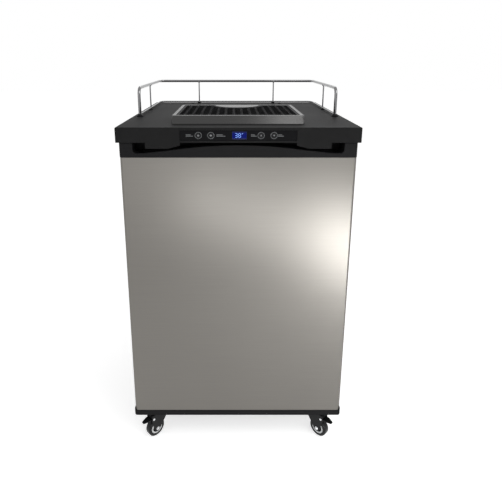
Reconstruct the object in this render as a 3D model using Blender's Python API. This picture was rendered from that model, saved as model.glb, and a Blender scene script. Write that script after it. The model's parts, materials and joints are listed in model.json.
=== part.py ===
"""Kegerator: a free-standing keg cooler on castors, with a drip tray, a guard rail and a
hinged steel door. Lengths are in metres, +Z is up, the front looks along -Y, and the
origin is on the floor under the middle of the worktop."""

import math

import bmesh
import bpy
from mathutils import Matrix, Vector

# Overall sizes
WIDTH = 0.610
DEPTH = 0.650
BODY_HEIGHT = 0.845
CASTOR_HEIGHT = 0.090

# Fits shared by all pieces
GAP = 0.0003
OVERRUN = 0.004
TINY_EDGE = 0.0008

# Sheets and walls
BRACKET_SHEET = 0.003
BASE_SHEET = 0.0015
SHELL_SHEET = 0.0012
LINER_SHEET = 0.002
DOOR_LIFT = 0.0017

# Worktop
DECK_THICKNESS = 0.012
FASCIA_HEIGHT = 0.038
FASCIA_WALL = 0.006
SKIRT_WALL = 0.0078
REAR_OVERHANG = 0.013
DECK_EDGE_ROUND = 0.0025
TAB_SLOPE_LENGTH = 0.030
TAB_OUTER_INSET = 0.067
TAB_INNER_DROP = 0.007
TAB_DROP = 0.015
TAB_SHEET = 0.003
UNDERCOVER_SHEET = 0.0025
UNDERCOVER_CLEARANCE = 0.006

# Control panel
PANEL_HALF_WIDTH = 0.145
PANEL_TOP_DROP = 0.007
PANEL_HEIGHT = 0.026
PANEL_SINK = 0.0015
PANEL_SHEET = 0.0012
WINDOW_LEFT = -0.016
WINDOW_RIGHT = 0.021
WINDOW_HEIGHT = 0.021
WINDOW_SHEET = 0.003
WINDOW_CLEARANCE = 0.0004
BUTTON_SHARES = {"button_power": -0.6828, "button_light": -0.469,
                 "button_warmer": 0.3862, "button_colder": 0.6069}
BUTTON_RADIUS = 0.0062
BUTTON_CLEARANCE = 0.0004
BUTTON_PROUD = 0.0009
BUTTON_FLANGE_RADIUS = 0.0075
BUTTON_FLANGE = 0.0010
BUTTON_STEM_RADIUS = 0.0025
BUTTON_STEM_LENGTH = 0.004
BUTTON_TRAVEL = 0.0012
BOARD_SHEET = 0.0016
BOARD_HEIGHT = 0.015
BOARD_HALF_WIDTH = 0.125
SWITCH_SIDE = 0.006
SWITCH_HEIGHT = 0.0035
BOARD_POST_RADIUS = 0.003

# Cabinet
CAVITY_SIDE_FOAM = 0.0535
CAVITY_FLOOR_FOAM = 0.045
CAVITY_TOP_DROP = 0.090
CAVITY_REAR_FOAM = 0.048
HUMP_DEPTH = 0.157
HUMP_HEIGHT = 0.190
HUMP_FOAM = 0.026
CAVITY_CORNER = 0.012
COVER_HEIGHT = 0.205

# Door
DOOR_SETBACK = 0.003
DOOR_THICKNESS = 0.048
DOOR_SIDE_INSET = 0.007
SKIN_SIDE_INSET = 0.001
SKIN_SHEET = 0.0008
SKIN_PROUD = 0.0005
SKIN_CORNER = 0.007
TRIM_HEIGHT = 0.038
BASE_TRIM_HEIGHT = 0.017
BASE_TRIM_CORNER = 0.006
SKIN_LOWER_CORNER = 0.008
DOOR_LINER_SHEET = 0.0025
DOOR_FIELD_INSET = 0.046
DOOR_FIELD_RAISE = 0.004
GASKET_DEPTH = 0.010
GASKET_WIDTH = 0.014
GASKET_SIDE_INSET = 0.015
GASKET_CORNER = 0.010
GASKET_SHARES = ((0.0, 0.0), (0.0, 0.30), (0.16, 0.45), (0.0, 0.70), (0.14, 1.0), (0.86, 1.0),
                 (1.0, 0.70), (0.84, 0.45), (1.0, 0.30), (1.0, 0.0))

# Door top trim: its scoop runs down from the middle, by shares of its reach and depth
TRIM_CLEARANCE = 0.001
SCOOP_DEPTH = 0.0275
SCOOP_SHARES = ((0.0, 0.25), (0.16, 0.28), (0.32, 0.36), (0.46, 0.48), (0.59, 0.62), (0.76, 0.80),
                (0.93, 0.98), (1.0, 1.0))
SCOOP_END_INSET = 0.034
SCOOP_END_FLAT = 0.002
SCOOP_END_ROUND = 0.010
TRIM_PLUG_DEPTH = 0.026
POCKET_OUTER_INSET = 0.048
POCKET_LENGTH = 0.100
POCKET_LIP = 0.010
POCKET_WIDTH = 0.024
POCKET_DEPTH = 0.060
POCKET_CORNER = 0.008

# Door hinge
HINGE_FROM_SIDE = 0.013
HINGE_FROM_FACE = 0.028
HINGE_PIN_RADIUS = 0.004
HINGE_PIN_CLEARANCE = 0.0004
TOP_PIN_REACH = 0.020
BOTTOM_PIN_REACH = 0.014
HINGE_LEG_HEIGHT = 0.018
HINGE_PLATE_REACH = 0.017
HINGE_PLATE_NOSE = 0.010

# Drip tray
TRAY_FRONT_FROM_DECK = 0.060
TRAY_REAR_FROM_DECK = 0.347
TRAY_HALF_WIDTH = 0.172
TRAY_HEIGHT = 0.020
TRAY_APRON_SLOPE = 0.015
TRAY_SHEET = 0.0012
TRAY_RIM = 0.009
TRAY_LIP = 0.007
TRAY_CORNER = 0.005
TRAY_BAY_FROM_DECK = 0.340
TRAY_BAY_RADIUS = 0.069
PAN_CLEARANCE = 0.001
PAN_WALL = 0.0018
PAN_FLOOR = 0.002
PAN_LEDGE = 0.005
GRID_THICKNESS = 0.007
GRID_BORDER = 0.006
GRID_CLEARANCE = 0.0008
HEX_SIDE = 0.0145
HEX_WALL = 0.0022

# Tower hole
TOWER_FROM_DECK = 0.402
TOWER_HOLE_RADIUS = 0.0275
SLEEVE_WALL = 0.0028
CAP_RADIUS = 0.045
CAP_RECESS = 0.0028
CAP_PLUG_DEPTH = 0.009
CAP_PLUG_CLEARANCE = 0.0004

# Guard rail
RAIL_INSET = 0.022
RAIL_HEIGHT = 0.086
RAIL_FRONT_FROM_DECK = 0.215
RAIL_REAR_INSET = 0.035
RAIL_RADIUS = 0.0045
RAIL_BEND = 0.020
ROD_RADIUS = 0.0025
ROD_HEIGHT = 0.0062
POST_SHARE = 0.9
SIDE_POST_SHARE = 0.4625
REAR_POST_X = 0.138
RAIL_FOOT_RADIUS = 0.009
RAIL_FOOT_HEIGHT = 0.003
CLIP_RADIUS = 0.006

# Castors
CASTOR_FROM_SIDE = 0.074
CASTOR_FRONT_FROM_DECK = 0.052
CASTOR_REAR_FROM_DECK = 0.055
CASTOR_TRAIL = 0.024
TYRE_RADIUS = 0.0275
TYRE_WIDTH = 0.020
TYRE_ROUND = 0.004
HUB_RADIUS = 0.0185
HUB_CLEARANCE = 0.0003
HUB_RIM = 0.0035
HUB_DISH = 0.005
HUB_BORE_RADIUS = 0.0043
AXLE_RADIUS = 0.004
AXLE_HEAD_RADIUS = 0.007
AXLE_HEAD = 0.0028
FORK_SHEET = 0.0025
FORK_SIDE_GAP = 0.0015
FORK_CROWN_RADIUS = 0.019
CROWN_CORNER_SHARE = 0.7
CHEEK_REACH_SHARE = 0.75
CASTOR_PLATE_SIDE = 0.044
CASTOR_PLATE_SHEET = 0.0025
RACE_HEIGHT = 0.008
RACE_RADIUS = 0.016
RACE_WAIST_SHARE = 0.8
BOLT_PITCH = 0.032
BOLT_HEAD_RADIUS = 0.0042
BOLT_HEAD = 0.003
PEDAL_PIVOT_TRAIL = 0.036
PEDAL_PIVOT_HEIGHT = 0.066
PEDAL_LENGTH = 0.031
PEDAL_DROP = 0.0015
PEDAL_SHARES = ((0.0, 1.0), (0.45, 1.0), (1.0, 0.55))
PEDAL_PIN_RADIUS = 0.0018
PEDAL_PIN_CLEARANCE = 0.0002
PEDAL_SIDE_GAP = 0.0005
PEDAL_SHEET = 0.003
PEDAL_BARREL_RADIUS = 0.0035
FOOT_BRACKET_SIDE = 0.088
FOOT_BRACKET_FRONT_FROM_DECK = 0.018

# Cooling
COMPRESSOR_RADIUS = 0.052
COMPRESSOR_LONG_SHARE = 1.30
COMPRESSOR_HEIGHT = 0.125
COMPRESSOR_SEAM = 0.004
COMPRESSOR_SEAM_SHARE = 0.52
COMPRESSOR_LOWER_SHARES = ((0.72, 0.0), (0.90, 0.10), (0.96, 0.28))
COMPRESSOR_UPPER_SHARES = ((0.92, 0.80), (0.74, 0.94), (0.40, 1.0))
COMPRESSOR_WALL_SHARE = 0.96
TERMINAL_SHARES = (0.25, 0.60)
COMPRESSOR_X = -0.080
COMPRESSOR_PLATE_HALF = 0.100
COMPRESSOR_PLATE_DEPTH = 0.080
COMPRESSOR_PLATE_SHEET = 0.003
COMPRESSOR_FOOT_HEIGHT = 0.012
COMPRESSOR_FOOT_RADIUS = 0.009
TERMINAL_BOX = 0.034
COIL_FROM_SIDE = 0.090
COIL_RUNS = 12
COIL_TOP_DROP = 0.135
COIL_ABOVE_COVER = 0.0646
COIL_TUBE_RADIUS = 0.0024
COIL_STANDOFF = 0.004
STRAP_WIDTH = 0.012
STRAP_SHEET = 0.0012
SHROUD_HALF_WIDTH = 0.130
SHROUD_HEIGHT = 0.190
SHROUD_DEPTH = 0.046
SHROUD_WALL = 0.002
SHROUD_TOP_DROP = 0.030
SHROUD_EDGE = 0.008
FAN_RADIUS = 0.046
FAN_HOLE_RADIUS = 0.048
FAN_HUB_RADIUS = 0.014
FAN_DEPTH = 0.010
FAN_BLADES = 5
FAN_BLADE_SHEET = 0.0014
FAN_BLADE_TWIST = 0.0035
FAN_ROOT_SHARE = 0.85
FAN_CHORD_SHARE = 0.9
FAN_STATION_SHARES = ((0.0, 0.5), (0.5, 0.9), (1.0, 1.0))
FAN_FROM_FACE = 0.006
FAN_SHAFT_RADIUS = 0.002
FAN_SHAFT_CLEARANCE = 0.00006
MOTOR_RADIUS = 0.018
GUARD_WIRE = 0.0018
EVAPORATOR_SHEET = 0.0015
LIGHT_HALF_WIDTH = 0.035
LIGHT_DEPTH = 0.024
LIGHT_HEIGHT = 0.011
LIGHT_FROM_FRONT = 0.060
KEG_FLOOR_SHEET = 0.004
KEG_FLOOR_MARGIN = 0.014
SLOT_HEIGHT = 0.004
SLOT_PITCH = 0.014
SLOT_LENGTH = 0.150
SLOT_ROWS = 9
SLOT_FIELDS_X = (-0.105, 0.105)
CORD_GLAND_RADIUS = 0.008
CORD_GLAND_FLANGE = 0.012
CORD_GLAND_NOSE = 0.010
CORD_GLAND_FROM_SIDE = 0.070
GAS_GROMMET_RADIUS = 0.010
GAS_GROMMET_FLANGE = 0.014
GAS_GROMMET_NOSE = 0.004
GAS_GROMMET_FROM_SIDE = 0.055
GAS_GROMMET_DROP = 0.140

# Facets
ROUND_STEPS = 5
SMALL_SIDES = 12
MID_SIDES = 16
LARGE_SIDES = 20
TUBE_SIDES = 8
COIL_SIDES = 6

# Places worked out from the sizes above
FRONT = -DEPTH / 2
REAR = DEPTH / 2
BRACKET_BOTTOM = CASTOR_HEIGHT + GAP
BRACKET_TOP = BRACKET_BOTTOM + BRACKET_SHEET
BASE_BOTTOM = BRACKET_TOP + GAP
BASE_TOP = BASE_BOTTOM + BASE_SHEET
DOOR_BOTTOM = BRACKET_TOP + DOOR_LIFT
DECK_TOP = DOOR_BOTTOM + BODY_HEIGHT
DECK_UNDER = DECK_TOP - DECK_THICKNESS
FASCIA_BOTTOM = DECK_TOP - FASCIA_HEIGHT

CABINET_HALF = WIDTH / 2 - SKIRT_WALL - GAP
DOOR_HALF_WIDTH = WIDTH / 2 - DOOR_SIDE_INSET
SKIN_HALF_WIDTH = DOOR_HALF_WIDTH - SKIN_SIDE_INSET
GASKET_HALF_WIDTH = DOOR_HALF_WIDTH - GASKET_SIDE_INSET
CAVITY_HALF_WIDTH = WIDTH / 2 - CAVITY_SIDE_FOAM
CABINET_REAR = REAR - REAR_OVERHANG
DOOR_FRONT = FRONT + DOOR_SETBACK
DOOR_BACK = DOOR_FRONT + DOOR_THICKNESS
CABINET_FRONT = DOOR_BACK + GASKET_DEPTH
SHELL_TOP = DECK_UNDER - GAP
SHELL_FRONT = CABINET_FRONT + LINER_SHEET + GAP
INNER_HALF = CABINET_HALF - SHELL_SHEET - GAP
PANEL_REAR_FACE = CABINET_REAR - SHELL_SHEET

CAVITY_FLOOR = BASE_TOP + CAVITY_FLOOR_FOAM
CAVITY_TOP = DECK_TOP - CAVITY_TOP_DROP
CAVITY_REAR = CABINET_REAR - CAVITY_REAR_FOAM
HUMP_FRONT = CABINET_REAR - HUMP_DEPTH
HUMP_TOP = CAVITY_FLOOR + HUMP_HEIGHT
NOTCH_FRONT = HUMP_FRONT + LINER_SHEET + GAP + HUMP_FOAM
NOTCH_TOP = HUMP_TOP - LINER_SHEET - GAP - HUMP_FOAM

HINGE_X = DOOR_HALF_WIDTH - HINGE_FROM_SIDE
HINGE_Y = DOOR_FRONT + HINGE_FROM_FACE
HINGE_PLATE_INNER = HINGE_X - HINGE_PLATE_REACH
UNDERCOVER_RIGHT = HINGE_PLATE_INNER - UNDERCOVER_CLEARANCE
SKIN_TOP = FASCIA_BOTTOM - TRIM_HEIGHT
SKIN_BOTTOM = DOOR_BOTTOM + BASE_TRIM_HEIGHT
TRIM_TOP = FASCIA_BOTTOM - TRIM_CLEARANCE
DOOR_CORE_BACK = DOOR_BACK - DOOR_LINER_SHEET - GAP
SADDLE_TOP = FASCIA_BOTTOM - SCOOP_DEPTH
SCOOP_END_X = DOOR_HALF_WIDTH - SCOOP_END_INSET
SCOOP_REACH = SCOOP_END_X - SCOOP_END_ROUND - SCOOP_END_FLAT
POCKET_OUTER_X = DOOR_HALF_WIDTH - POCKET_OUTER_INSET
POCKET_INNER_X = POCKET_OUTER_X - POCKET_LENGTH
TAB_OUTER_X = DOOR_HALF_WIDTH - TAB_OUTER_INSET
TAB_FLAT_X = PANEL_HALF_WIDTH + TAB_SLOPE_LENGTH

PANEL_TOP = DECK_TOP - PANEL_TOP_DROP
PANEL_BOTTOM = PANEL_TOP - PANEL_HEIGHT
PANEL_MIDDLE = (PANEL_TOP + PANEL_BOTTOM) / 2
PANEL_FACE = FRONT + PANEL_SINK
RECESS_FACE = PANEL_FACE + PANEL_SHEET + GAP
FASCIA_INNER = FRONT + FASCIA_WALL

TOWER_Y = FRONT + TOWER_FROM_DECK
BUTTON_X = {name: share * PANEL_HALF_WIDTH for name, share in BUTTON_SHARES.items()}
COVER_TOP = BASE_TOP + GAP + COVER_HEIGHT
COIL_HALF_WIDTH = WIDTH / 2 - COIL_FROM_SIDE
COIL_BOTTOM = COVER_TOP + COIL_ABOVE_COVER
COIL_PITCH = (DECK_TOP - COIL_TOP_DROP - COIL_BOTTOM) / (COIL_RUNS - 1)
CORD_GLAND_X = WIDTH / 2 - CORD_GLAND_FROM_SIDE
GAS_GROMMET_X = WIDTH / 2 - GAS_GROMMET_FROM_SIDE
CASTOR_X = WIDTH / 2 - CASTOR_FROM_SIDE
WHEEL_Z = TYRE_RADIUS
RACE_TOP = CASTOR_HEIGHT - CASTOR_PLATE_SHEET
FORK_TOP = RACE_TOP - RACE_HEIGHT - GAP


def clear_scene():
    for item in list(bpy.data.objects):
        bpy.data.objects.remove(item, do_unlink=True)


def make_material(name, color, roughness, metallic=0.0, alpha=1.0):
    mat = bpy.data.materials.new(name)
    mat.use_nodes = True
    shader = mat.node_tree.nodes["Principled BSDF"]
    shader.inputs["Base Color"].default_value = (*color, 1.0)
    shader.inputs["Roughness"].default_value = roughness
    shader.inputs["Metallic"].default_value = metallic
    shader.inputs["Alpha"].default_value = alpha
    return mat


MATERIALS = {
    "deck_plastic": ((0.055, 0.056, 0.058), 0.42),
    "panel_film": ((0.012, 0.012, 0.014), 0.25),
    "display_lens": ((0.010, 0.020, 0.120), 0.10),
    "button_plastic": ((0.020, 0.020, 0.022), 0.35),
    "board": ((0.020, 0.140, 0.050), 0.50),
    "trim_plastic": ((0.022, 0.022, 0.024), 0.38),
    "brushed_steel": ((0.460, 0.450, 0.430), 0.32, 1.0),
    "tray_steel": ((0.420, 0.420, 0.420), 0.35, 1.0),
    "tray_plastic": ((0.015, 0.015, 0.016), 0.45),
    "rail_chrome": ((0.780, 0.780, 0.790), 0.12, 1.0),
    "cabinet_paint": ((0.030, 0.030, 0.032), 0.45),
    "liner_white": ((0.780, 0.790, 0.800), 0.40),
    "keg_floor": ((0.500, 0.500, 0.500), 0.40, 1.0),
    "foam": ((0.800, 0.700, 0.450), 0.90),
    "zinc_steel": ((0.550, 0.560, 0.580), 0.40, 1.0),
    "gasket_rubber": ((0.110, 0.110, 0.115), 0.65),
    "compressor_paint": ((0.018, 0.018, 0.020), 0.35),
    "foot_rubber": ((0.030, 0.030, 0.030), 0.80),
    "coil_paint": ((0.020, 0.020, 0.022), 0.50),
    "evaporator": ((0.700, 0.710, 0.720), 0.35, 1.0),
    "fan_plastic": ((0.050, 0.050, 0.055), 0.45),
    "motor_steel": ((0.300, 0.300, 0.310), 0.40, 1.0),
    "light_lens": ((0.900, 0.920, 0.950), 0.20),
    "castor_paint": ((0.018, 0.018, 0.020), 0.38),
    "castor_tyre": ((0.020, 0.020, 0.021), 0.70),
    "castor_hub": ((0.560, 0.570, 0.580), 0.45),
}


# Modelling helpers


def add_object(name, bm, material, pivot=(0, 0, 0), yaw=0.0):
    """Turn a bmesh drawn about the pivot into an object that stands on the pivot."""
    bmesh.ops.recalc_face_normals(bm, faces=bm.faces)
    mesh = bpy.data.meshes.new(name)
    bm.to_mesh(mesh)
    bm.free()
    mesh.materials.append(SHADES[material])
    mesh.shade_smooth()
    mesh.set_sharp_from_angle(angle=math.radians(35))
    item = bpy.data.objects.new(name, mesh)
    item.location = pivot
    item.rotation_euler = (0, 0, yaw)
    bpy.context.collection.objects.link(item)
    return item


def add_tool(name, bm, pivot=(0, 0, 0), yaw=0.0):
    """A helper body that only shapes its neighbours."""
    item = add_object(name, bm, "foam", pivot, yaw)
    item.hide_render = True
    item.display_type = "WIRE"
    return item


def combine(item, tool, operation):
    modifier = item.modifiers.new(tool.name, "BOOLEAN")
    modifier.operation = operation
    modifier.solver = "EXACT"
    modifier.object = tool


def cut(item, *tools):
    for tool in tools:
        combine(item, tool, "DIFFERENCE")


def fuse(item, *tools):
    for tool in tools:
        combine(item, tool, "UNION")


def add_box(bm, low, high):
    middle = (Vector(low) + Vector(high)) / 2
    size = Vector(high) - Vector(low)
    place = Matrix.Translation(middle) @ Matrix.Diagonal((*size, 1))
    return bmesh.ops.create_cube(bm, size=1, matrix=place)["verts"]


def box(low, high):
    bm = bmesh.new()
    add_box(bm, low, high)
    return bm


def loft(bm, loops, ring=False):
    """Skin closed loops of equal length; a ring joins the last to the first, else caps close it."""
    rows = [[bm.verts.new(point) for point in loop] for loop in loops]
    pairs = list(zip(rows, rows[1:]))
    if ring:
        pairs.append((rows[-1], rows[0]))
    for lower, upper in pairs:
        for i in range(len(lower)):
            j = (i + 1) % len(lower)
            bm.faces.new((lower[i], lower[j], upper[j], upper[i]))
    if not ring:
        bm.faces.new(list(reversed(rows[0])))
        bm.faces.new(rows[-1])


def placed(u, v, w, axis):
    """A point from outline coordinates (u, v) and a height w along the named axis."""
    return {"X": (w, u, v), "Y": (u, w, v), "Z": (u, v, w)}[axis]


def add_prism(bm, outline, axis, low, high):
    loft(bm, [[placed(u, v, w, axis) for u, v in outline] for w in (low, high)])


def prism(outline, axis, low, high):
    bm = bmesh.new()
    add_prism(bm, outline, axis, low, high)
    return bm


def add_turned(bm, profile, axis, centre, sides, ring=False, stretch=1.0):
    """Revolve (radius, height) pairs about an axis through the centre. Facets lie square
    to the outline axes, so a wheel stands on a facet and not on a corner."""
    loops = []
    for radius, height in profile:
        reach = radius / math.cos(math.pi / sides)
        loop = []
        for i in range(sides):
            angle = 2 * math.pi * (i + 0.5) / sides
            u, v = reach * math.cos(angle) * stretch, reach * math.sin(angle)
            loop.append(Vector(placed(u, v, height, axis)) + Vector(centre))
        loops.append(loop)
    loft(bm, loops, ring)


def turned(profile, axis, centre, sides, ring=False, stretch=1.0):
    bm = bmesh.new()
    add_turned(bm, profile, axis, centre, sides, ring, stretch)
    return bm


def add_rod(bm, radius, axis, centre, low, high, sides=SMALL_SIDES):
    add_turned(bm, [(radius, low), (radius, high)], axis, centre, sides)


def rod(radius, axis, centre, low, high, sides=SMALL_SIDES):
    bm = bmesh.new()
    add_rod(bm, radius, axis, centre, low, high, sides)
    return bm


def arc(centre, radius, start, stop, steps):
    """Points on an arc between two angles in degrees, both ends included."""
    points = []
    for i in range(steps + 1):
        angle = math.radians(start + (stop - start) * i / steps)
        points.append((centre[0] + radius * math.cos(angle), centre[1] + radius * math.sin(angle)))
    return points


def rounded_rectangle(low, high, radius, steps=ROUND_STEPS):
    (left, bottom), (right, top) = low, high
    points = arc((right - radius, bottom + radius), radius, -90, 0, steps)
    points += arc((right - radius, top - radius), radius, 0, 90, steps)
    points += arc((left + radius, top - radius), radius, 90, 180, steps)
    points += arc((left + radius, bottom + radius), radius, 180, 270, steps)
    return points


def mirrored(points):
    """Close an outline drawn on the right half by its own mirror image."""
    return points + [(-u, v) for u, v in reversed(points) if u > 0]


def soften(bm, test, width, segments=1):
    """Bevel each edge whose two ends pass the test."""
    edges = [edge for edge in bm.edges if test(edge.verts[0].co, edge.verts[1].co)]
    bmesh.ops.bevel(bm, geom=edges, offset=width, offset_type="OFFSET", segments=segments,
                    profile=0.5, affect="EDGES", clamp_overlap=True)


def is_near(a, b):
    return abs(a - b) < GAP / 2


def smooth_route(points, radius, steps=ROUND_STEPS):
    """Round the corners of a polyline with arcs of one radius."""
    route = [Vector(points[0])]
    for before, corner, after in zip(points, points[1:], points[2:]):
        corner = Vector(corner)
        back = (Vector(before) - corner).normalized()
        ahead = (Vector(after) - corner).normalized()
        half = back.angle(ahead) / 2
        bisector = (back + ahead).normalized()
        centre = corner + bisector * radius / math.sin(half)
        first = corner + back * radius / math.tan(half) - centre
        last = corner + ahead * radius / math.tan(half) - centre
        swing = first.angle(last)
        for i in range(steps + 1):
            turn = Matrix.Rotation(swing * i / steps, 3, first.cross(last))
            route.append(centre + turn @ first)
    route.append(Vector(points[-1]))
    return route


def add_sweep(bm, route, radius, sides=TUBE_SIDES):
    """A round bar along a route, carried round its bends without a twist."""
    route = [Vector(point) for point in route]
    loops = []
    heading = (route[1] - route[0]).normalized()
    across = heading.orthogonal().normalized()
    for i, point in enumerate(route):
        ahead = (route[min(i + 1, len(route) - 1)] - point).normalized()
        behind = (point - route[max(i - 1, 0)]).normalized()
        heading = (ahead + behind).normalized()
        across = (across - heading * across.dot(heading)).normalized()
        upright = heading.cross(across)
        loop = []
        for j in range(sides):
            angle = 2 * math.pi * (j + 0.5) / sides
            loop.append(point + (across * math.cos(angle) + upright * math.sin(angle)) * radius)
        loops.append(loop)
    loft(bm, loops)


# Worktop and its control panel


def fascia_tab(side):
    """The flush drop tab below the fascia, over one finger pocket of the door."""
    root = FASCIA_BOTTOM + OVERRUN
    outline = [(PANEL_HALF_WIDTH, root), (PANEL_HALF_WIDTH, FASCIA_BOTTOM - TAB_INNER_DROP),
               (TAB_FLAT_X, FASCIA_BOTTOM - TAB_DROP), (TAB_OUTER_X, FASCIA_BOTTOM - TAB_DROP),
               (TAB_OUTER_X, root)]
    return [(side * x, z) for x, z in outline]


def tower_bore():
    """One bore through worktop, cabinet top, insulation and liner for the beer lines."""
    bore = rod(TOWER_HOLE_RADIUS, "Z", (0, TOWER_Y, 0), CAVITY_TOP - OVERRUN, DECK_TOP + OVERRUN,
               LARGE_SIDES)
    return add_tool("tower_bore_cutter", bore)


def cap_recess():
    """Shallow round recess, so that the cap of the tower hole lies flush with the deck."""
    return add_tool("cap_recess_cutter",
                    rod(CAP_RADIUS + CAP_PLUG_CLEARANCE, "Z", (0, TOWER_Y, 0), DECK_TOP - CAP_RECESS,
                        DECK_TOP + OVERRUN, LARGE_SIDES))


def panel_holes():
    """Through holes for the buttons, shared by the fascia and its film."""
    bm = bmesh.new()
    for x in BUTTON_X.values():
        add_rod(bm, BUTTON_RADIUS + BUTTON_CLEARANCE, "Y", (x, 0, PANEL_MIDDLE),
                FRONT - OVERRUN, FASCIA_INNER + OVERRUN)
    return add_tool("button_hole_cutter", bm)


def window_hole():
    half = WINDOW_HEIGHT / 2
    return add_tool("window_cutter", box((WINDOW_LEFT, FRONT - OVERRUN, PANEL_MIDDLE - half),
                                         (WINDOW_RIGHT, FASCIA_INNER + OVERRUN, PANEL_MIDDLE + half)))


def build_worktop(bore, holes, window):
    bm = box((-WIDTH / 2, FRONT, FASCIA_BOTTOM), (WIDTH / 2, REAR, DECK_TOP))
    soften(bm, lambda a, b: is_near(a.z, DECK_TOP) and is_near(b.z, DECK_TOP)
           or not is_near(a.z, b.z), DECK_EDGE_ROUND, 2)
    worktop = add_object("worktop", bm, "deck_plastic")
    tabs = bmesh.new()
    for side in (-1, 1):
        add_prism(tabs, fascia_tab(side), "Y", FRONT, FRONT + TAB_SHEET)
    pocket = box((-CABINET_HALF - GAP, FASCIA_INNER, FASCIA_BOTTOM - OVERRUN),
                 (CABINET_HALF + GAP, CABINET_REAR + GAP, DECK_UNDER))
    strip = box((-PANEL_HALF_WIDTH - GAP, FRONT - OVERRUN, PANEL_BOTTOM - GAP),
                (PANEL_HALF_WIDTH + GAP, RECESS_FACE, PANEL_TOP + GAP))
    fuse(worktop, add_tool("fascia_tabs", tabs), rail_sockets())
    cut(worktop, add_tool("cabinet_pocket_cutter", pocket), add_tool("panel_strip_cutter", strip),
        holes, window, bore, cap_recess())


def build_panel(holes, window):
    film = prism(rounded_rectangle((-PANEL_HALF_WIDTH, PANEL_BOTTOM), (PANEL_HALF_WIDTH, PANEL_TOP),
                                   PANEL_SHEET), "Y", PANEL_FACE, PANEL_FACE + PANEL_SHEET)
    panel = add_object("control_panel", film, "panel_film")
    cut(panel, holes, window)
    half = WINDOW_HEIGHT / 2 - WINDOW_CLEARANCE
    low = (WINDOW_LEFT + WINDOW_CLEARANCE, PANEL_FACE + GAP, PANEL_MIDDLE - half)
    high = (WINDOW_RIGHT - WINDOW_CLEARANCE, PANEL_FACE + WINDOW_SHEET, PANEL_MIDDLE + half)
    add_object("display_window", box(low, high), "display_lens")


def build_buttons():
    """Push buttons: a head in the fascia, a flange behind it and a stem that meets its switch."""
    flange = FASCIA_INNER + GAP - PANEL_FACE
    profile = [(BUTTON_RADIUS - TINY_EDGE, -BUTTON_PROUD), (BUTTON_RADIUS, TINY_EDGE - BUTTON_PROUD),
               (BUTTON_RADIUS, flange), (BUTTON_FLANGE_RADIUS, flange),
               (BUTTON_FLANGE_RADIUS, flange + BUTTON_FLANGE),
               (BUTTON_STEM_RADIUS, flange + BUTTON_FLANGE),
               (BUTTON_STEM_RADIUS, flange + BUTTON_FLANGE + BUTTON_STEM_LENGTH)]
    for name, x in BUTTON_X.items():
        bm = turned(profile, "Y", (0, 0, 0), SMALL_SIDES)
        add_object(name, bm, "button_plastic", (x, PANEL_FACE, PANEL_MIDDLE))


def build_board():
    stem_tip = FASCIA_INNER + GAP + BUTTON_FLANGE + BUTTON_STEM_LENGTH
    switch_face = stem_tip + BUTTON_TRAVEL + GAP
    face = switch_face + SWITCH_HEIGHT
    half = BOARD_HEIGHT / 2
    bm = box((-BOARD_HALF_WIDTH, face, PANEL_MIDDLE - half),
             (BOARD_HALF_WIDTH, face + BOARD_SHEET, PANEL_MIDDLE + half))
    board = add_object("control_board", bm, "board")
    fittings = bmesh.new()
    side = SWITCH_SIDE / 2
    for x in BUTTON_X.values():
        add_box(fittings, (x - side, switch_face, PANEL_MIDDLE - side),
                (x + side, face + TINY_EDGE, PANEL_MIDDLE + side))
    for x in (-1, 1):
        centre = (x * (BOARD_HALF_WIDTH - BOARD_POST_RADIUS - TINY_EDGE), 0, PANEL_MIDDLE)
        add_rod(fittings, BOARD_POST_RADIUS, "Y", centre, FASCIA_INNER + GAP, face + TINY_EDGE)
    fuse(board, add_tool("board_fittings", fittings))
    cover = box((-CABINET_HALF, FASCIA_INNER + GAP, FASCIA_BOTTOM),
                (UNDERCOVER_RIGHT, CABINET_FRONT - GAP, FASCIA_BOTTOM + UNDERCOVER_SHEET))
    add_object("panel_undercover", cover, "trim_plastic")


def build_tower_hole():
    plug_radius = TOWER_HOLE_RADIUS - CAP_PLUG_CLEARANCE
    profile = [(plug_radius, -CAP_PLUG_DEPTH), (plug_radius, GAP - CAP_RECESS),
               (CAP_RADIUS, GAP - CAP_RECESS), (CAP_RADIUS, -GAP - TINY_EDGE),
               (CAP_RADIUS - TINY_EDGE, -GAP)]
    add_object("tower_hole_cap", turned(profile, "Z", (0, 0, 0), LARGE_SIDES), "trim_plastic",
               (0, TOWER_Y, DECK_TOP))
    outer = TOWER_HOLE_RADIUS - GAP
    inner = outer - SLEEVE_WALL
    top = DECK_TOP - CAP_PLUG_DEPTH - GAP
    profile = [(outer, CAVITY_TOP), (outer, top), (inner, top), (inner, CAVITY_TOP)]
    add_object("tower_sleeve", turned(profile, "Z", (0, TOWER_Y, 0), LARGE_SIDES, ring=True),
               "liner_white")


# Drip tray


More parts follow.
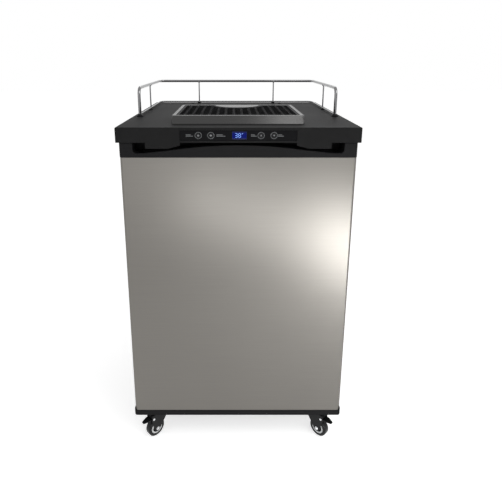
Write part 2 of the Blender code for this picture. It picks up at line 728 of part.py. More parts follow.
def tray_outline(inset, front_extra=0.0):
    """Outline of the tray, a given distance inside its foot.

    The opening, and what lies in it, has a round bay at the rear. The foot is straight there,
    so the surround's flat rim fills the bay.
    """
    half = TRAY_HALF_WIDTH - inset
    front = FRONT + TRAY_FRONT_FROM_DECK + inset + front_extra
    rear = FRONT + TRAY_REAR_FROM_DECK - inset
    middle = FRONT + TRAY_BAY_FROM_DECK
    radius = TRAY_BAY_RADIUS + inset - TRAY_RIM
    if inset < TRAY_RIM / 2:
        bay = [(radius - 2 * radius * i / SMALL_SIDES, rear) for i in range(SMALL_SIDES + 1)]
    else:
        reach = math.degrees(math.acos((middle - rear) / radius))
        bay = arc((0, middle), radius, -90 + reach, -90 - reach, SMALL_SIDES)
    points = arc((half - TRAY_CORNER, front + TRAY_CORNER), TRAY_CORNER, -90, 0, 2)
    points += arc((half - TRAY_CORNER, rear - TRAY_CORNER), TRAY_CORNER, 0, 90, 2)
    points += bay
    points += arc((TRAY_CORNER - half, rear - TRAY_CORNER), TRAY_CORNER, 90, 180, 2)
    points += arc((TRAY_CORNER - half, front + TRAY_CORNER), TRAY_CORNER, 180, 270, 2)
    return points


def tray_loop(inset, height, front_extra=0.0):
    return [(x, y, DECK_TOP + GAP + height) for x, y in tray_outline(inset, front_extra)]


def build_tray():
    sheet, slope = TRAY_SHEET, TRAY_APRON_SLOPE
    section = [(0, 0, 0), (0, TRAY_HEIGHT, slope), (TRAY_RIM, TRAY_HEIGHT, slope),
               (TRAY_RIM, TRAY_HEIGHT - TRAY_LIP, slope),
               (TRAY_RIM - sheet, TRAY_HEIGHT - TRAY_LIP, slope),
               (TRAY_RIM - sheet, TRAY_HEIGHT - sheet, slope),
               (sheet, TRAY_HEIGHT - sheet, slope), (sheet, 0, 0)]
    bm = bmesh.new()
    loft(bm, [tray_loop(*step) for step in section], ring=True)
    add_object("drip_tray_surround", bm, "tray_steel")

    outer = sheet + PAN_CLEARANCE
    inner = outer + PAN_WALL
    ledge = TRAY_RIM + PAN_LEDGE
    height = TRAY_HEIGHT - GRID_CLEARANCE - GRID_THICKNESS - GAP
    section = [(outer, 0, slope), (outer, height, slope), (ledge, height, slope),
               (ledge, height - PAN_WALL, slope), (inner, height - PAN_WALL, slope),
               (inner, PAN_FLOOR, slope)]
    bm = bmesh.new()
    loft(bm, [tray_loop(*step) for step in section])
    add_object("drip_pan", bm, "tray_plastic")
    build_grid()


def hexagon(centre, side):
    return arc(centre, side, 0, 300, 5)


def build_grid():
    """Honeycomb grid: flat-topped cells in staggered columns, kept inside a plain border."""
    edge = TRAY_RIM + GRID_CLEARANCE
    slope = TRAY_APRON_SLOPE
    top = DECK_TOP + GAP + TRAY_HEIGHT - GRID_CLEARANCE
    bottom = top - GRID_THICKNESS
    grid = add_object("drip_grid", prism(tray_outline(edge, slope), "Z", bottom, top), "tray_plastic")

    cell = HEX_SIDE - HEX_WALL / math.sqrt(3)
    column_pitch = 1.5 * HEX_SIDE
    row_pitch = math.sqrt(3) * HEX_SIDE
    columns = int(TRAY_HALF_WIDTH / column_pitch) + 1
    rows = int((TRAY_REAR_FROM_DECK - TRAY_FRONT_FROM_DECK) / row_pitch / 2) + 2
    middle = FRONT + (TRAY_FRONT_FROM_DECK + slope + TRAY_REAR_FROM_DECK) / 2
    cells = bmesh.new()
    for column in range(-columns, columns + 1):
        shift = row_pitch / 2 if column % 2 else 0
        for row in range(-rows, rows + 1):
            centre = (column * column_pitch, middle + row * row_pitch + shift)
            add_prism(cells, hexagon(centre, cell), "Z", bottom - OVERRUN, top + OVERRUN)
    field = add_tool("grid_cells", cells)
    window = prism(tray_outline(edge + GRID_BORDER, slope), "Z", bottom - 2 * OVERRUN,
                   top + 2 * OVERRUN)
    combine(field, add_tool("grid_window", window), "INTERSECT")
    cut(grid, field)


# Guard rail


def rail_lines():
    """Half width, front and rear lines of the rail."""
    return WIDTH / 2 - RAIL_INSET, FRONT + RAIL_FRONT_FROM_DECK, REAR - RAIL_REAR_INSET


def post_places():
    x, front, rear = rail_lines()
    side_y = front + (rear - front) * SIDE_POST_SHARE
    return [(-x, side_y), (x, side_y), (-REAR_POST_X, rear), (REAR_POST_X, rear)]


def rail_sockets():
    """Low round sockets moulded on the deck, under the front legs and the posts."""
    x, front, _ = rail_lines()
    root = DECK_TOP - TINY_EDGE
    bm = bmesh.new()
    for u in (-x, x):
        add_turned(bm, [(RAIL_FOOT_RADIUS, root), (RAIL_FOOT_RADIUS, DECK_TOP + RAIL_FOOT_HEIGHT
                                                   - TINY_EDGE),
                        (RAIL_FOOT_RADIUS - TINY_EDGE, DECK_TOP + RAIL_FOOT_HEIGHT)], "Z",
                   (u, front, 0), SMALL_SIDES)
    for u, v in post_places():
        add_rod(bm, CLIP_RADIUS, "Z", (u, v, 0), root, DECK_TOP + ROD_HEIGHT - ROD_RADIUS - GAP)
    return add_tool("rail_sockets", bm)


def build_rail():
    """Guard rail: a bent tube on two legs, with a lower bar and posts welded between them."""
    x, front, rear = rail_lines()
    top = DECK_TOP + RAIL_HEIGHT - RAIL_RADIUS
    foot_top = DECK_TOP + RAIL_FOOT_HEIGHT + GAP
    left_side = smooth_route([(-x, front, foot_top), (-x, front, top), (-x, rear, top),
                              (x, rear, top)], RAIL_BEND)[:-1]
    right_side = [Vector((-point.x, point.y, point.z)) for point in reversed(left_side)]
    bm = bmesh.new()
    add_sweep(bm, left_side + right_side, RAIL_RADIUS)
    rail = add_object("guard_rail", bm, "rail_chrome")

    low = DECK_TOP + ROD_HEIGHT
    corners = [(-x, front, low), (-x, rear, low), (x, rear, low), (x, front, low)]
    bar = bmesh.new()
    add_sweep(bar, smooth_route(corners, RAIL_BEND), ROD_RADIUS)
    posts = bmesh.new()
    for u, v in post_places():
        add_sweep(posts, [(u, v, low), (u, v, top)], ROD_RADIUS * POST_SHARE)
    fuse(rail, add_tool("rail_lower_bar", bar), add_tool("rail_posts", posts))


# Cabinet


def build_shell(bore):
    inner = CABINET_HALF - SHELL_SHEET
    side = [(inner, BASE_BOTTOM), (CABINET_HALF, BASE_BOTTOM), (CABINET_HALF, SHELL_TOP)]
    ceiling = SHELL_TOP - SHELL_SHEET
    outline = mirrored(side) + [(-inner, ceiling), (inner, ceiling)]
    shell = add_object("cabinet_shell", prism(outline, "Y", SHELL_FRONT, CABINET_REAR),
                       "cabinet_paint")
    cut(shell, bore)


def cavity_block(grow, front):
    """The keg space with its step over the machine compartment, grown by a wall."""
    nose = HUMP_TOP - grow
    outline = [(front, CAVITY_FLOOR - grow), (HUMP_FRONT + grow, CAVITY_FLOOR - grow),
               (HUMP_FRONT + grow, HUMP_TOP - grow), (CAVITY_REAR + grow, HUMP_TOP - grow),
               (CAVITY_REAR + grow, CAVITY_TOP + grow), (front, CAVITY_TOP + grow)]
    bm = prism(outline, "X", -CAVITY_HALF_WIDTH - grow, CAVITY_HALF_WIDTH + grow)
    soften(bm, lambda a, b: is_near(a.z, b.z) and is_near(a.x, b.x) and not is_near(a.z, nose)
           or is_near(a.y, b.y) and is_near(a.x, b.x) and a.y > HUMP_FRONT + 2 * CAVITY_CORNER,
           CAVITY_CORNER + grow, 2)
    return bm


def build_liner(bore):
    flange = box((-CABINET_HALF, CABINET_FRONT, BASE_TOP + GAP),
                 (CABINET_HALF, CABINET_FRONT + LINER_SHEET, SHELL_TOP))
    liner = add_object("cabinet_liner", flange, "liner_white")
    fuse(liner, add_tool("liner_tub", cavity_block(LINER_SHEET, CABINET_FRONT + LINER_SHEET / 2)))
    cut(liner, add_tool("keg_space_cutter", cavity_block(0, CABINET_FRONT - OVERRUN)), bore)


def build_foam(bore):
    rear = PANEL_REAR_FACE - GAP
    top = SHELL_TOP - SHELL_SHEET - GAP
    outline = [(SHELL_FRONT, BASE_TOP + GAP), (NOTCH_FRONT, BASE_TOP + GAP),
               (NOTCH_FRONT, NOTCH_TOP), (rear, NOTCH_TOP), (rear, top), (SHELL_FRONT, top)]
    foam = add_object("cabinet_foam", prism(outline, "X", -INNER_HALF, INNER_HALF), "foam")
    room = cavity_block(LINER_SHEET + GAP, SHELL_FRONT - OVERRUN)
    cut(foam, add_tool("foam_room_cutter", room), bore)


def build_base():
    sheet = box((-INNER_HALF, CABINET_FRONT, BASE_BOTTOM), (INNER_HALF, CABINET_REAR, BASE_TOP))
    pan = add_object("base_pan", sheet, "castor_paint")
    pads = bmesh.new()
    for side in (-1, 1):
        low, high = foot_plate(side, CABINET_REAR - FOOT_BRACKET_SIDE, CABINET_REAR)
        add_box(pads, low, (*high[:2], BASE_BOTTOM + BASE_SHEET / 2))
    fuse(pan, add_tool("rear_castor_pads", pads))
    panel = box((-INNER_HALF, PANEL_REAR_FACE, COVER_TOP + GAP),
                (INNER_HALF, CABINET_REAR, SHELL_TOP - SHELL_SHEET - GAP))
    back = add_object("back_panel", panel, "cabinet_paint")
    gas_z = DECK_TOP - GAS_GROMMET_DROP
    hole = rod(GAS_GROMMET_RADIUS + GAP, "Y", (GAS_GROMMET_X, 0, gas_z),
               PANEL_REAR_FACE - OVERRUN / 2, CABINET_REAR + OVERRUN)
    cut(back, add_tool("gas_hole_cutter", hole))
    profile = [(GAS_GROMMET_RADIUS, -SHELL_SHEET), (GAS_GROMMET_RADIUS, GAP),
               (GAS_GROMMET_FLANGE, GAP), (GAS_GROMMET_FLANGE, GAS_GROMMET_NOSE - TINY_EDGE),
               (GAS_GROMMET_FLANGE - TINY_EDGE, GAS_GROMMET_NOSE)]
    add_object("gas_line_grommet", turned(profile, "Y", (0, 0, 0), SMALL_SIDES), "foot_rubber",
               (GAS_GROMMET_X, CABINET_REAR, gas_z))
    build_rear_cover()


def build_rear_cover():
    """Louvred cover of the machine compartment, with the bush of the mains lead."""
    bottom = BASE_TOP + GAP
    sheet = box((-INNER_HALF, PANEL_REAR_FACE, bottom), (INNER_HALF, CABINET_REAR, COVER_TOP))
    cover = add_object("rear_cover", sheet, "cabinet_paint")
    slots = bmesh.new()
    middle = (bottom + COVER_TOP) / 2
    for row in range(SLOT_ROWS):
        z = middle + (row - (SLOT_ROWS - 1) / 2) * SLOT_PITCH
        for x in SLOT_FIELDS_X:
            add_box(slots, (x - SLOT_LENGTH / 2, PANEL_REAR_FACE - OVERRUN, z - SLOT_HEIGHT / 2),
                    (x + SLOT_LENGTH / 2, CABINET_REAR + OVERRUN, z + SLOT_HEIGHT / 2))
    gland = rod(CORD_GLAND_RADIUS + GAP, "Y", (CORD_GLAND_X, 0, middle),
                PANEL_REAR_FACE - OVERRUN, CABINET_REAR + OVERRUN)
    cut(cover, add_tool("slot_cutter", slots), add_tool("gland_hole_cutter", gland))
    profile = [(CORD_GLAND_RADIUS, -CORD_GLAND_NOSE), (CORD_GLAND_RADIUS, GAP),
               (CORD_GLAND_FLANGE, GAP), (CORD_GLAND_FLANGE, CORD_GLAND_NOSE / 3),
               (CORD_GLAND_RADIUS, CORD_GLAND_NOSE)]
    add_object("power_cord_gland", turned(profile, "Y", (0, 0, 0), SMALL_SIDES), "foot_rubber",
               (CORD_GLAND_X, CABINET_REAR, middle))


# Door


def skin_outline(inset, back):
    half = SKIN_HALF_WIDTH - inset
    radius = SKIN_CORNER - inset
    face = DOOR_FRONT + SKIN_PROUD + inset
    left = arc((radius - half, face + radius), radius, 180, 270, ROUND_STEPS)
    right = arc((half - radius, face + radius), radius, 270, 360, ROUND_STEPS)
    return [(-half, back)] + left + right + [(half, back)]


def corner_arc(grow):
    """The rounded lower right corner of the steel skin, seen from the front."""
    radius = SKIN_LOWER_CORNER + grow
    centre = (SKIN_HALF_WIDTH - SKIN_LOWER_CORNER, SKIN_BOTTOM + GAP + SKIN_LOWER_CORNER)
    return arc(centre, radius, -90, 0, ROUND_STEPS)


def build_skin():
    outer = skin_outline(0, DOOR_CORE_BACK)
    inner = skin_outline(SKIN_SHEET, DOOR_CORE_BACK)
    skin = add_object("door_skin", prism(outer + list(reversed(inner)), "Z", SKIN_BOTTOM + GAP,
                                         SKIN_TOP - GAP), "brushed_steel")
    out = SKIN_HALF_WIDTH + OVERRUN
    low = SKIN_BOTTOM + GAP - OVERRUN
    rise = SKIN_BOTTOM + GAP + SKIN_LOWER_CORNER
    outline = [(SKIN_HALF_WIDTH - SKIN_LOWER_CORNER, low), (out, low), (out, rise)]
    outline += list(reversed(corner_arc(0)))
    corners = bmesh.new()
    for side in (-1, 1):
        add_prism(corners, [(side * u, v) for u, v in outline], "Y", DOOR_FRONT - OVERRUN,
                  DOOR_CORE_BACK + OVERRUN)
    bmesh.ops.recalc_face_normals(corners, faces=corners.faces)
    cut(skin, add_tool("skin_corner_cutter", corners))


def core_outline(inset):
    """Front view of the door's insulation, a given distance inside its edge."""
    half = SKIN_HALF_WIDTH - SKIN_SHEET - GAP - inset
    low = SKIN_BOTTOM + GAP * 2 + inset
    top = SKIN_TOP - TRIM_PLUG_DEPTH - GAP - inset
    radius = SKIN_LOWER_CORNER - inset
    return mirrored(arc((half - radius, low + radius), radius, -90, 0, ROUND_STEPS)
                    + [(half, top)])


def build_door_core():
    face = DOOR_FRONT + SKIN_PROUD + SKIN_SHEET + GAP
    rounding = arc((SKIN_CORNER, SKIN_CORNER), SKIN_CORNER, 270, 180, 2)
    loops = [[(x, face + depth, z) for x, z in core_outline(inset)] for inset, depth in rounding]
    loops.append([(x, DOOR_CORE_BACK, z) for x, z in core_outline(0)])
    bm = bmesh.new()
    loft(bm, loops)
    add_object("door_foam", bm, "foam")

    margin = DOOR_SETBACK
    low = DOOR_BOTTOM + margin
    high = SADDLE_TOP - margin
    bm = box((-SKIN_HALF_WIDTH, DOOR_BACK - DOOR_LINER_SHEET, low),
             (SKIN_HALF_WIDTH, DOOR_BACK, high))
    bm.faces.ensure_lookup_table()
    back = [face for face in bm.faces if is_near(face.calc_center_median().y, DOOR_BACK)]
    for width, rise in ((DOOR_FIELD_INSET, 0), (DOOR_FIELD_RAISE, DOOR_FIELD_RAISE)):
        bmesh.ops.inset_individual(bm, faces=back, thickness=width, depth=rise,
                                   use_even_offset=True)
    add_object("door_liner", bm, "liner_white")


def build_base_trim():
    half = DOOR_HALF_WIDTH
    rise = SKIN_BOTTOM + GAP + SKIN_LOWER_CORNER
    right = arc((half - BASE_TRIM_CORNER, DOOR_BOTTOM + BASE_TRIM_CORNER), BASE_TRIM_CORNER,
                -90, 0, ROUND_STEPS)
    right += [(half, rise)] + list(reversed(corner_arc(GAP)))
    bm = prism(mirrored(right), "Y", DOOR_FRONT, DOOR_CORE_BACK)
    trim = add_object("door_base_trim", bm, "trim_plastic")
    bore = rod(HINGE_PIN_RADIUS + HINGE_PIN_CLEARANCE, "Z", (HINGE_X, HINGE_Y, 0),
               DOOR_BOTTOM - OVERRUN, DOOR_BOTTOM + BOTTOM_PIN_REACH)
    cut(trim, add_tool("lower_pin_cutter", bore))


def top_trim_outline():
    """Front view of the door's top cap: a long shallow scoop between two full-height ends."""
    scoop = [(SCOOP_REACH * across, FASCIA_BOTTOM - SCOOP_DEPTH * sink)
             for across, sink in SCOOP_SHARES]
    turn = (SCOOP_END_X - SCOOP_END_ROUND, SADDLE_TOP + SCOOP_END_ROUND)
    wall = arc(turn, SCOOP_END_ROUND, -90, 0, ROUND_STEPS)
    rim = (SCOOP_END_X + TINY_EDGE * 2, TRIM_TOP)
    right = [(DOOR_HALF_WIDTH, SKIN_TOP), (DOOR_HALF_WIDTH, TRIM_TOP), rim]
    right += [(SCOOP_END_X, TRIM_TOP - TINY_EDGE * 2)] + list(reversed(wall))
    right += list(reversed(scoop))
    return mirrored(right)


def build_top_trim():
    bm = prism(top_trim_outline(), "Y", DOOR_FRONT, DOOR_CORE_BACK)
    outer = DOOR_HALF_WIDTH
    soften(bm, lambda a, b: is_near(a.y, DOOR_FRONT) and is_near(b.y, DOOR_FRONT)
           and is_near(abs(a.x), outer) and is_near(a.x, b.x), SKIN_CORNER, 2)
    trim = add_object("door_top_trim", bm, "trim_plastic")
    half = SKIN_HALF_WIDTH - SKIN_SHEET - GAP
    face = DOOR_FRONT + SKIN_PROUD + SKIN_SHEET + GAP
    plug = box((-half, face, SKIN_TOP - TRIM_PLUG_DEPTH), (half, DOOR_CORE_BACK, SKIN_TOP + OVERRUN))
    soften(plug, lambda a, b: is_near(a.y, face) and is_near(b.y, face) and is_near(a.x, b.x),
           SKIN_CORNER, 2)
    pockets = bmesh.new()
    for side in (-1, 1):
        low_x, high_x = sorted((side * POCKET_INNER_X, side * POCKET_OUTER_X))
        front = DOOR_FRONT + POCKET_LIP
        add_prism(pockets, rounded_rectangle((low_x, front), (high_x, front + POCKET_WIDTH),
                                             POCKET_CORNER, 3), "Z",
                  FASCIA_BOTTOM - POCKET_DEPTH, TRIM_TOP)
    bore = rod(HINGE_PIN_RADIUS + HINGE_PIN_CLEARANCE, "Z", (HINGE_X, HINGE_Y, 0),
               TRIM_TOP - TOP_PIN_REACH, TRIM_TOP + OVERRUN)
    fuse(trim, add_tool("trim_plug", plug))
    cut(trim, add_tool("finger_pocket_cutter", pockets), add_tool("upper_pin_cutter", bore))


def build_gasket():
    """Closed ring of seal profile round the cavity mouth."""
    margin = GASKET_HALF_WIDTH - CAVITY_HALF_WIDTH - GASKET_WIDTH
    near = DOOR_BACK + GAP
    far = CABINET_FRONT - GAP
    depth = far - near
    loops = []
    for across_share, depth_share in GASKET_SHARES:
        inset = GASKET_WIDTH * across_share
        half = GASKET_HALF_WIDTH - inset
        low = CAVITY_FLOOR - margin - GASKET_WIDTH / 2 + inset
        high = CAVITY_TOP + GASKET_WIDTH + GASKET_DEPTH / 2 - inset
        outline = rounded_rectangle((-half, low), (half, high), GASKET_CORNER, 2)
        loops.append([(x, near + depth * depth_share, z) for x, z in outline])
    bm = bmesh.new()
    loft(bm, loops, ring=True)
    add_object("door_gasket", bm, "gasket_rubber")


def foot_plate(x_side, y_low, y_high):
    """Corners of a castor plate seat below the base, on one side of the cabinet."""
    inner = CASTOR_X - FOOT_BRACKET_SIDE / 2
    low_x, high_x = sorted((x_side * inner, x_side * INNER_HALF))
    return (low_x, y_low, BRACKET_BOTTOM), (high_x, y_high, BRACKET_TOP)


def build_brackets():
    """Front castor brackets under the door; the right one also carries the lower hinge pin."""
    front = FRONT + FOOT_BRACKET_FRONT_FROM_DECK
    add_object("front_castor_bracket", box(*foot_plate(-1, front, front + FOOT_BRACKET_SIDE)),
               "castor_paint")
    lower = add_object("lower_hinge_bracket", box(*foot_plate(1, front, front + FOOT_BRACKET_SIDE)),
                       "castor_paint")
    pin = rod(HINGE_PIN_RADIUS, "Z", (HINGE_X, HINGE_Y, 0), BRACKET_TOP - BRACKET_SHEET / 2,
              DOOR_BOTTOM + BOTTOM_PIN_REACH - DOOR_LIFT)
    fuse(lower, add_tool("lower_pin", pin))

    leg_face = CABINET_FRONT - GAP
    outline = [(HINGE_Y - HINGE_PLATE_NOSE, FASCIA_BOTTOM), (leg_face, FASCIA_BOTTOM),
               (leg_face, FASCIA_BOTTOM + HINGE_LEG_HEIGHT),
               (leg_face - BRACKET_SHEET, FASCIA_BOTTOM + HINGE_LEG_HEIGHT),
               (leg_face - BRACKET_SHEET, FASCIA_BOTTOM + BRACKET_SHEET),
               (HINGE_Y - HINGE_PLATE_NOSE, FASCIA_BOTTOM + BRACKET_SHEET)]
    upper = add_object("upper_hinge_bracket", prism(outline, "X", HINGE_PLATE_INNER, CABINET_HALF),
                       "zinc_steel")
    pin = rod(HINGE_PIN_RADIUS, "Z", (HINGE_X, HINGE_Y, 0), TRIM_TOP - TOP_PIN_REACH + DOOR_LIFT,
              FASCIA_BOTTOM + BRACKET_SHEET / 2)
    fuse(upper, add_tool("upper_pin", pin))


# Castors


def castor_places():
    """Name, swivel point and heading of each castor; the front ones trail outward and forward."""
    front = FRONT + CASTOR_FRONT_FROM_DECK
    rear = REAR - CASTOR_REAR_FROM_DECK
    return [("front_left", (-CASTOR_X, front), math.radians(225)),
            ("front_right", (CASTOR_X, front), math.radians(315)),
            ("rear_left", (-CASTOR_X, rear), math.radians(90)),
            ("rear_right", (CASTOR_X, rear), math.radians(90))]


def build_castor_top(name, spot):
    """Mounting plate with its ball race and four bolt heads."""
    x, y = spot
    half = CASTOR_PLATE_SIDE / 2
    plate = add_object("castor_plate_" + name, box((x - half, y - half, RACE_TOP),
                                                   (x + half, y + half, CASTOR_HEIGHT)),
                       "castor_paint")
    race = turned([(RACE_RADIUS * RACE_WAIST_SHARE, RACE_TOP - RACE_HEIGHT),
                   (RACE_RADIUS, RACE_TOP - RACE_HEIGHT / 2), (RACE_RADIUS, RACE_TOP + TINY_EDGE)],
                  "Z", (x, y, 0), SMALL_SIDES)
    bolts = bmesh.new()
    for u in (-1, 1):
        for v in (-1, 1):
            centre = (x + u * BOLT_PITCH / 2, y + v * BOLT_PITCH / 2, 0)
            add_rod(bolts, BOLT_HEAD_RADIUS, "Z", centre, RACE_TOP - BOLT_HEAD,
                    RACE_TOP + TINY_EDGE, 6)
    fuse(plate, add_tool("race_" + name, race), add_tool("bolts_" + name, bolts))


def cheek_outline():
    """Side of the fork, drawn along its heading: crown, pedal ear, and a round axle boss."""
    boss = AXLE_HEAD_RADIUS + FORK_SHEET
    ear = PEDAL_PIVOT_TRAIL + PEDAL_BARREL_RADIUS + FORK_SHEET
    low_ear = PEDAL_PIVOT_HEIGHT - PEDAL_BARREL_RADIUS - FORK_SHEET
    reach = FORK_CROWN_RADIUS * CHEEK_REACH_SHARE
    outline = [(-reach, FORK_TOP), (-reach, low_ear)]
    outline += arc((CASTOR_TRAIL, WHEEL_Z), boss, 190, 350, ROUND_STEPS + 1)
    outline += [(ear, low_ear), (ear, FORK_TOP)]
    return outline


def build_fork(name, spot, yaw):
    pivot = (*spot, 0)
    inner = TYRE_WIDTH / 2 + FORK_SIDE_GAP
    outer = inner + FORK_SHEET
    ear = PEDAL_PIVOT_TRAIL + PEDAL_BARREL_RADIUS + FORK_SHEET
    crown = rounded_rectangle((-FORK_CROWN_RADIUS, -outer), (ear, outer), outer * CROWN_CORNER_SHARE, 3)
    fork = add_object("castor_fork_" + name, prism(crown, "Z", FORK_TOP - FORK_SHEET, FORK_TOP),
                      "castor_paint", pivot, yaw)
    cheeks = bmesh.new()
    for low, high in ((-outer, -inner), (inner, outer)):
        add_prism(cheeks, cheek_outline(), "Y", low, high)
    axle_spot = (CASTOR_TRAIL, 0, WHEEL_Z)
    profile = [(AXLE_HEAD_RADIUS, -outer - AXLE_HEAD), (AXLE_HEAD_RADIUS, -outer + TINY_EDGE),
               (AXLE_RADIUS, -outer + TINY_EDGE), (AXLE_RADIUS, outer - TINY_EDGE),
               (AXLE_HEAD_RADIUS, outer - TINY_EDGE), (AXLE_HEAD_RADIUS, outer + AXLE_HEAD)]
    axle = turned(profile, "Y", axle_spot, SMALL_SIDES)
    fuse(fork, add_tool("cheeks_" + name, cheeks, pivot, yaw),
         add_tool("axle_" + name, axle, pivot, yaw))
    if name.startswith("front"):
        pin_spot = (PEDAL_PIVOT_TRAIL, 0, PEDAL_PIVOT_HEIGHT)
        pin = rod(PEDAL_PIN_RADIUS, "Y", pin_spot, -outer + TINY_EDGE, outer - TINY_EDGE)
        fuse(fork, add_tool("pedal_pin_" + name, pin, pivot, yaw))


def build_wheel(name, spot, yaw):
    heading = Vector((math.cos(yaw), math.sin(yaw), 0))
    centre = Vector((*spot, WHEEL_Z)) + heading * CASTOR_TRAIL
    half = TYRE_WIDTH / 2
    inside = HUB_RADIUS + HUB_CLEARANCE
    profile = [(inside, -half), (TYRE_RADIUS - TYRE_ROUND, -half), (TYRE_RADIUS, TYRE_ROUND - half),
               (TYRE_RADIUS, half - TYRE_ROUND), (TYRE_RADIUS - TYRE_ROUND, half), (inside, half)]
    tyre = turned(profile, "Y", (0, 0, 0), MID_SIDES, ring=True)
    add_object("castor_tyre_" + name, tyre, "castor_tyre", centre, yaw)
    face = [(HUB_BORE_RADIUS, half), (HUB_RADIUS - HUB_RIM, half - HUB_DISH),
            (HUB_RADIUS - HUB_RIM, half), (HUB_RADIUS, half)]
    profile = face + [(radius, -height) for radius, height in reversed(face)]
    hub = turned(profile, "Y", (0, 0, 0), MID_SIDES, ring=True)
    add_object("castor_hub_" + name, hub, "castor_hub", centre, yaw)


def build_pedal(name, spot, yaw):
    """Brake pedal: a barrel on the fork's pin and a plate that reaches past the wheel."""
    heading = Vector((math.cos(yaw), math.sin(yaw), 0))
    centre = Vector((*spot, PEDAL_PIVOT_HEIGHT)) + heading * PEDAL_PIVOT_TRAIL
    half = TYRE_WIDTH / 2 + FORK_SIDE_GAP - PEDAL_SIDE_GAP
    bore = PEDAL_PIN_RADIUS + PEDAL_PIN_CLEARANCE
    profile = [(bore, -half), (PEDAL_BARREL_RADIUS, -half), (PEDAL_BARREL_RADIUS, half), (bore, half)]
    pedal = add_object("brake_pedal_" + name, turned(profile, "Y", (0, 0, 0), SMALL_SIDES, ring=True),
                       "castor_paint", centre, yaw)
    start = PEDAL_PIN_RADIUS + TINY_EDGE
    sections = []
    for share, width_share in PEDAL_SHARES:
        u = start + (PEDAL_LENGTH - start) * share
        v = (half - TINY_EDGE) * width_share
        low, high = (side * PEDAL_SHEET / 2 - PEDAL_DROP * share for side in (-1, 1))
        sections.append([(u, -v, low), (u, v, low), (u, v, high), (u, -v, high)])
    plate = bmesh.new()
    loft(plate, sections)
    fuse(pedal, add_tool("pedal_plate_" + name, plate, centre, yaw))


def build_castors():
    for name, spot, yaw in castor_places():
        build_castor_top(name, spot)
        build_fork(name, spot, yaw)
        build_wheel(name, spot, yaw)
        if name.startswith("front"):
            build_pedal(name, spot, yaw)


# Cooling


def build_compressor():
    y = (NOTCH_FRONT + PANEL_REAR_FACE) / 2
    plate_low = BASE_TOP + GAP + COMPRESSOR_FOOT_HEIGHT + GAP
    plate_top = plate_low + COMPRESSOR_PLATE_SHEET
    half, depth = COMPRESSOR_PLATE_HALF, COMPRESSOR_PLATE_DEPTH / 2
    plate = box((COMPRESSOR_X - half, y - depth, plate_low), (COMPRESSOR_X + half, y + depth, plate_top))
    compressor = add_object("compressor", plate, "compressor_paint")
    radius, height = COMPRESSOR_RADIUS, COMPRESSOR_HEIGHT
    seam = plate_top + height * COMPRESSOR_SEAM_SHARE
    wall = radius * COMPRESSOR_WALL_SHARE
    profile = [(radius * COMPRESSOR_LOWER_SHARES[0][0], plate_top - TINY_EDGE)]
    profile += [(radius * wide, plate_top + height * high)
                for wide, high in COMPRESSOR_LOWER_SHARES[1:]]
    profile += [(wall, seam), (radius, seam), (radius, seam + COMPRESSOR_SEAM),
                (wall, seam + COMPRESSOR_SEAM)]
    profile += [(radius * wide, plate_top + height * high) for wide, high in COMPRESSOR_UPPER_SHARES]
    dome = turned(profile, "Z", (0, 0, 0), MID_SIDES, stretch=COMPRESSOR_LONG_SHARE)
    bmesh.ops.translate(dome, verts=dome.verts, vec=(COMPRESSOR_X, y, 0))
    side = TERMINAL_BOX / 2
    start = COMPRESSOR_X + radius
    low, high = (plate_top + height * share for share in TERMINAL_SHARES)
    terminal = box((start, y - side, low), (start + TERMINAL_BOX, y + side, high))
    feet = bmesh.new()
    inset = COMPRESSOR_FOOT_RADIUS + TINY_EDGE
    for u in (inset - half, half - inset):
        for v in (inset - depth, depth - inset):
            add_rod(feet, COMPRESSOR_FOOT_RADIUS, "Z", (COMPRESSOR_X + u, y + v, 0), BASE_TOP + GAP,
                    plate_low + TINY_EDGE)
    fuse(compressor, add_tool("compressor_dome", dome), add_tool("terminal_box", terminal),
         add_tool("compressor_feet", feet))


def build_condenser():
    """Serpentine condenser tube on three upright straps, which clip it to the back panel."""
    y = CABINET_REAR + COIL_STANDOFF + COIL_TUBE_RADIUS
    turn = COIL_PITCH / 2
    end = COIL_HALF_WIDTH - turn
    top = COIL_BOTTOM + (COIL_RUNS - 1) * COIL_PITCH
    route = [(end, y, COIL_BOTTOM)]
    for run in range(COIL_RUNS - 1):
        side = 1 if run % 2 else -1
        for u, v in arc((end, COIL_BOTTOM + run * COIL_PITCH + turn), turn, -90, 90, ROUND_STEPS):
            route.append((side * u, y, v))
    route.append((end, y, top))
    bm = bmesh.new()
    add_sweep(bm, route, COIL_TUBE_RADIUS, COIL_SIDES)
    coil = add_object("condenser_coil", bm, "coil_paint")
    straps, clips = bmesh.new(), bmesh.new()
    face = y - COIL_TUBE_RADIUS + TINY_EDGE
    half = STRAP_WIDTH / 2
    for x in (turn - end, 0, end - turn):
        add_box(straps, (x - half, face - STRAP_SHEET, COIL_BOTTOM - turn),
                (x + half, face, top + turn))
        for z in (COIL_BOTTOM - turn + half, top + turn - half):
            add_box(clips, (x - half / 2, CABINET_REAR + GAP, z - half / 2),
                    (x + half / 2, face - STRAP_SHEET / 2, z + half / 2))
    fuse(coil, add_tool("coil_straps", straps), add_tool("coil_clips", clips))


def shroud_levels():
    top = CAVITY_TOP - SHROUD_TOP_DROP
    return top - SHROUD_HEIGHT, top


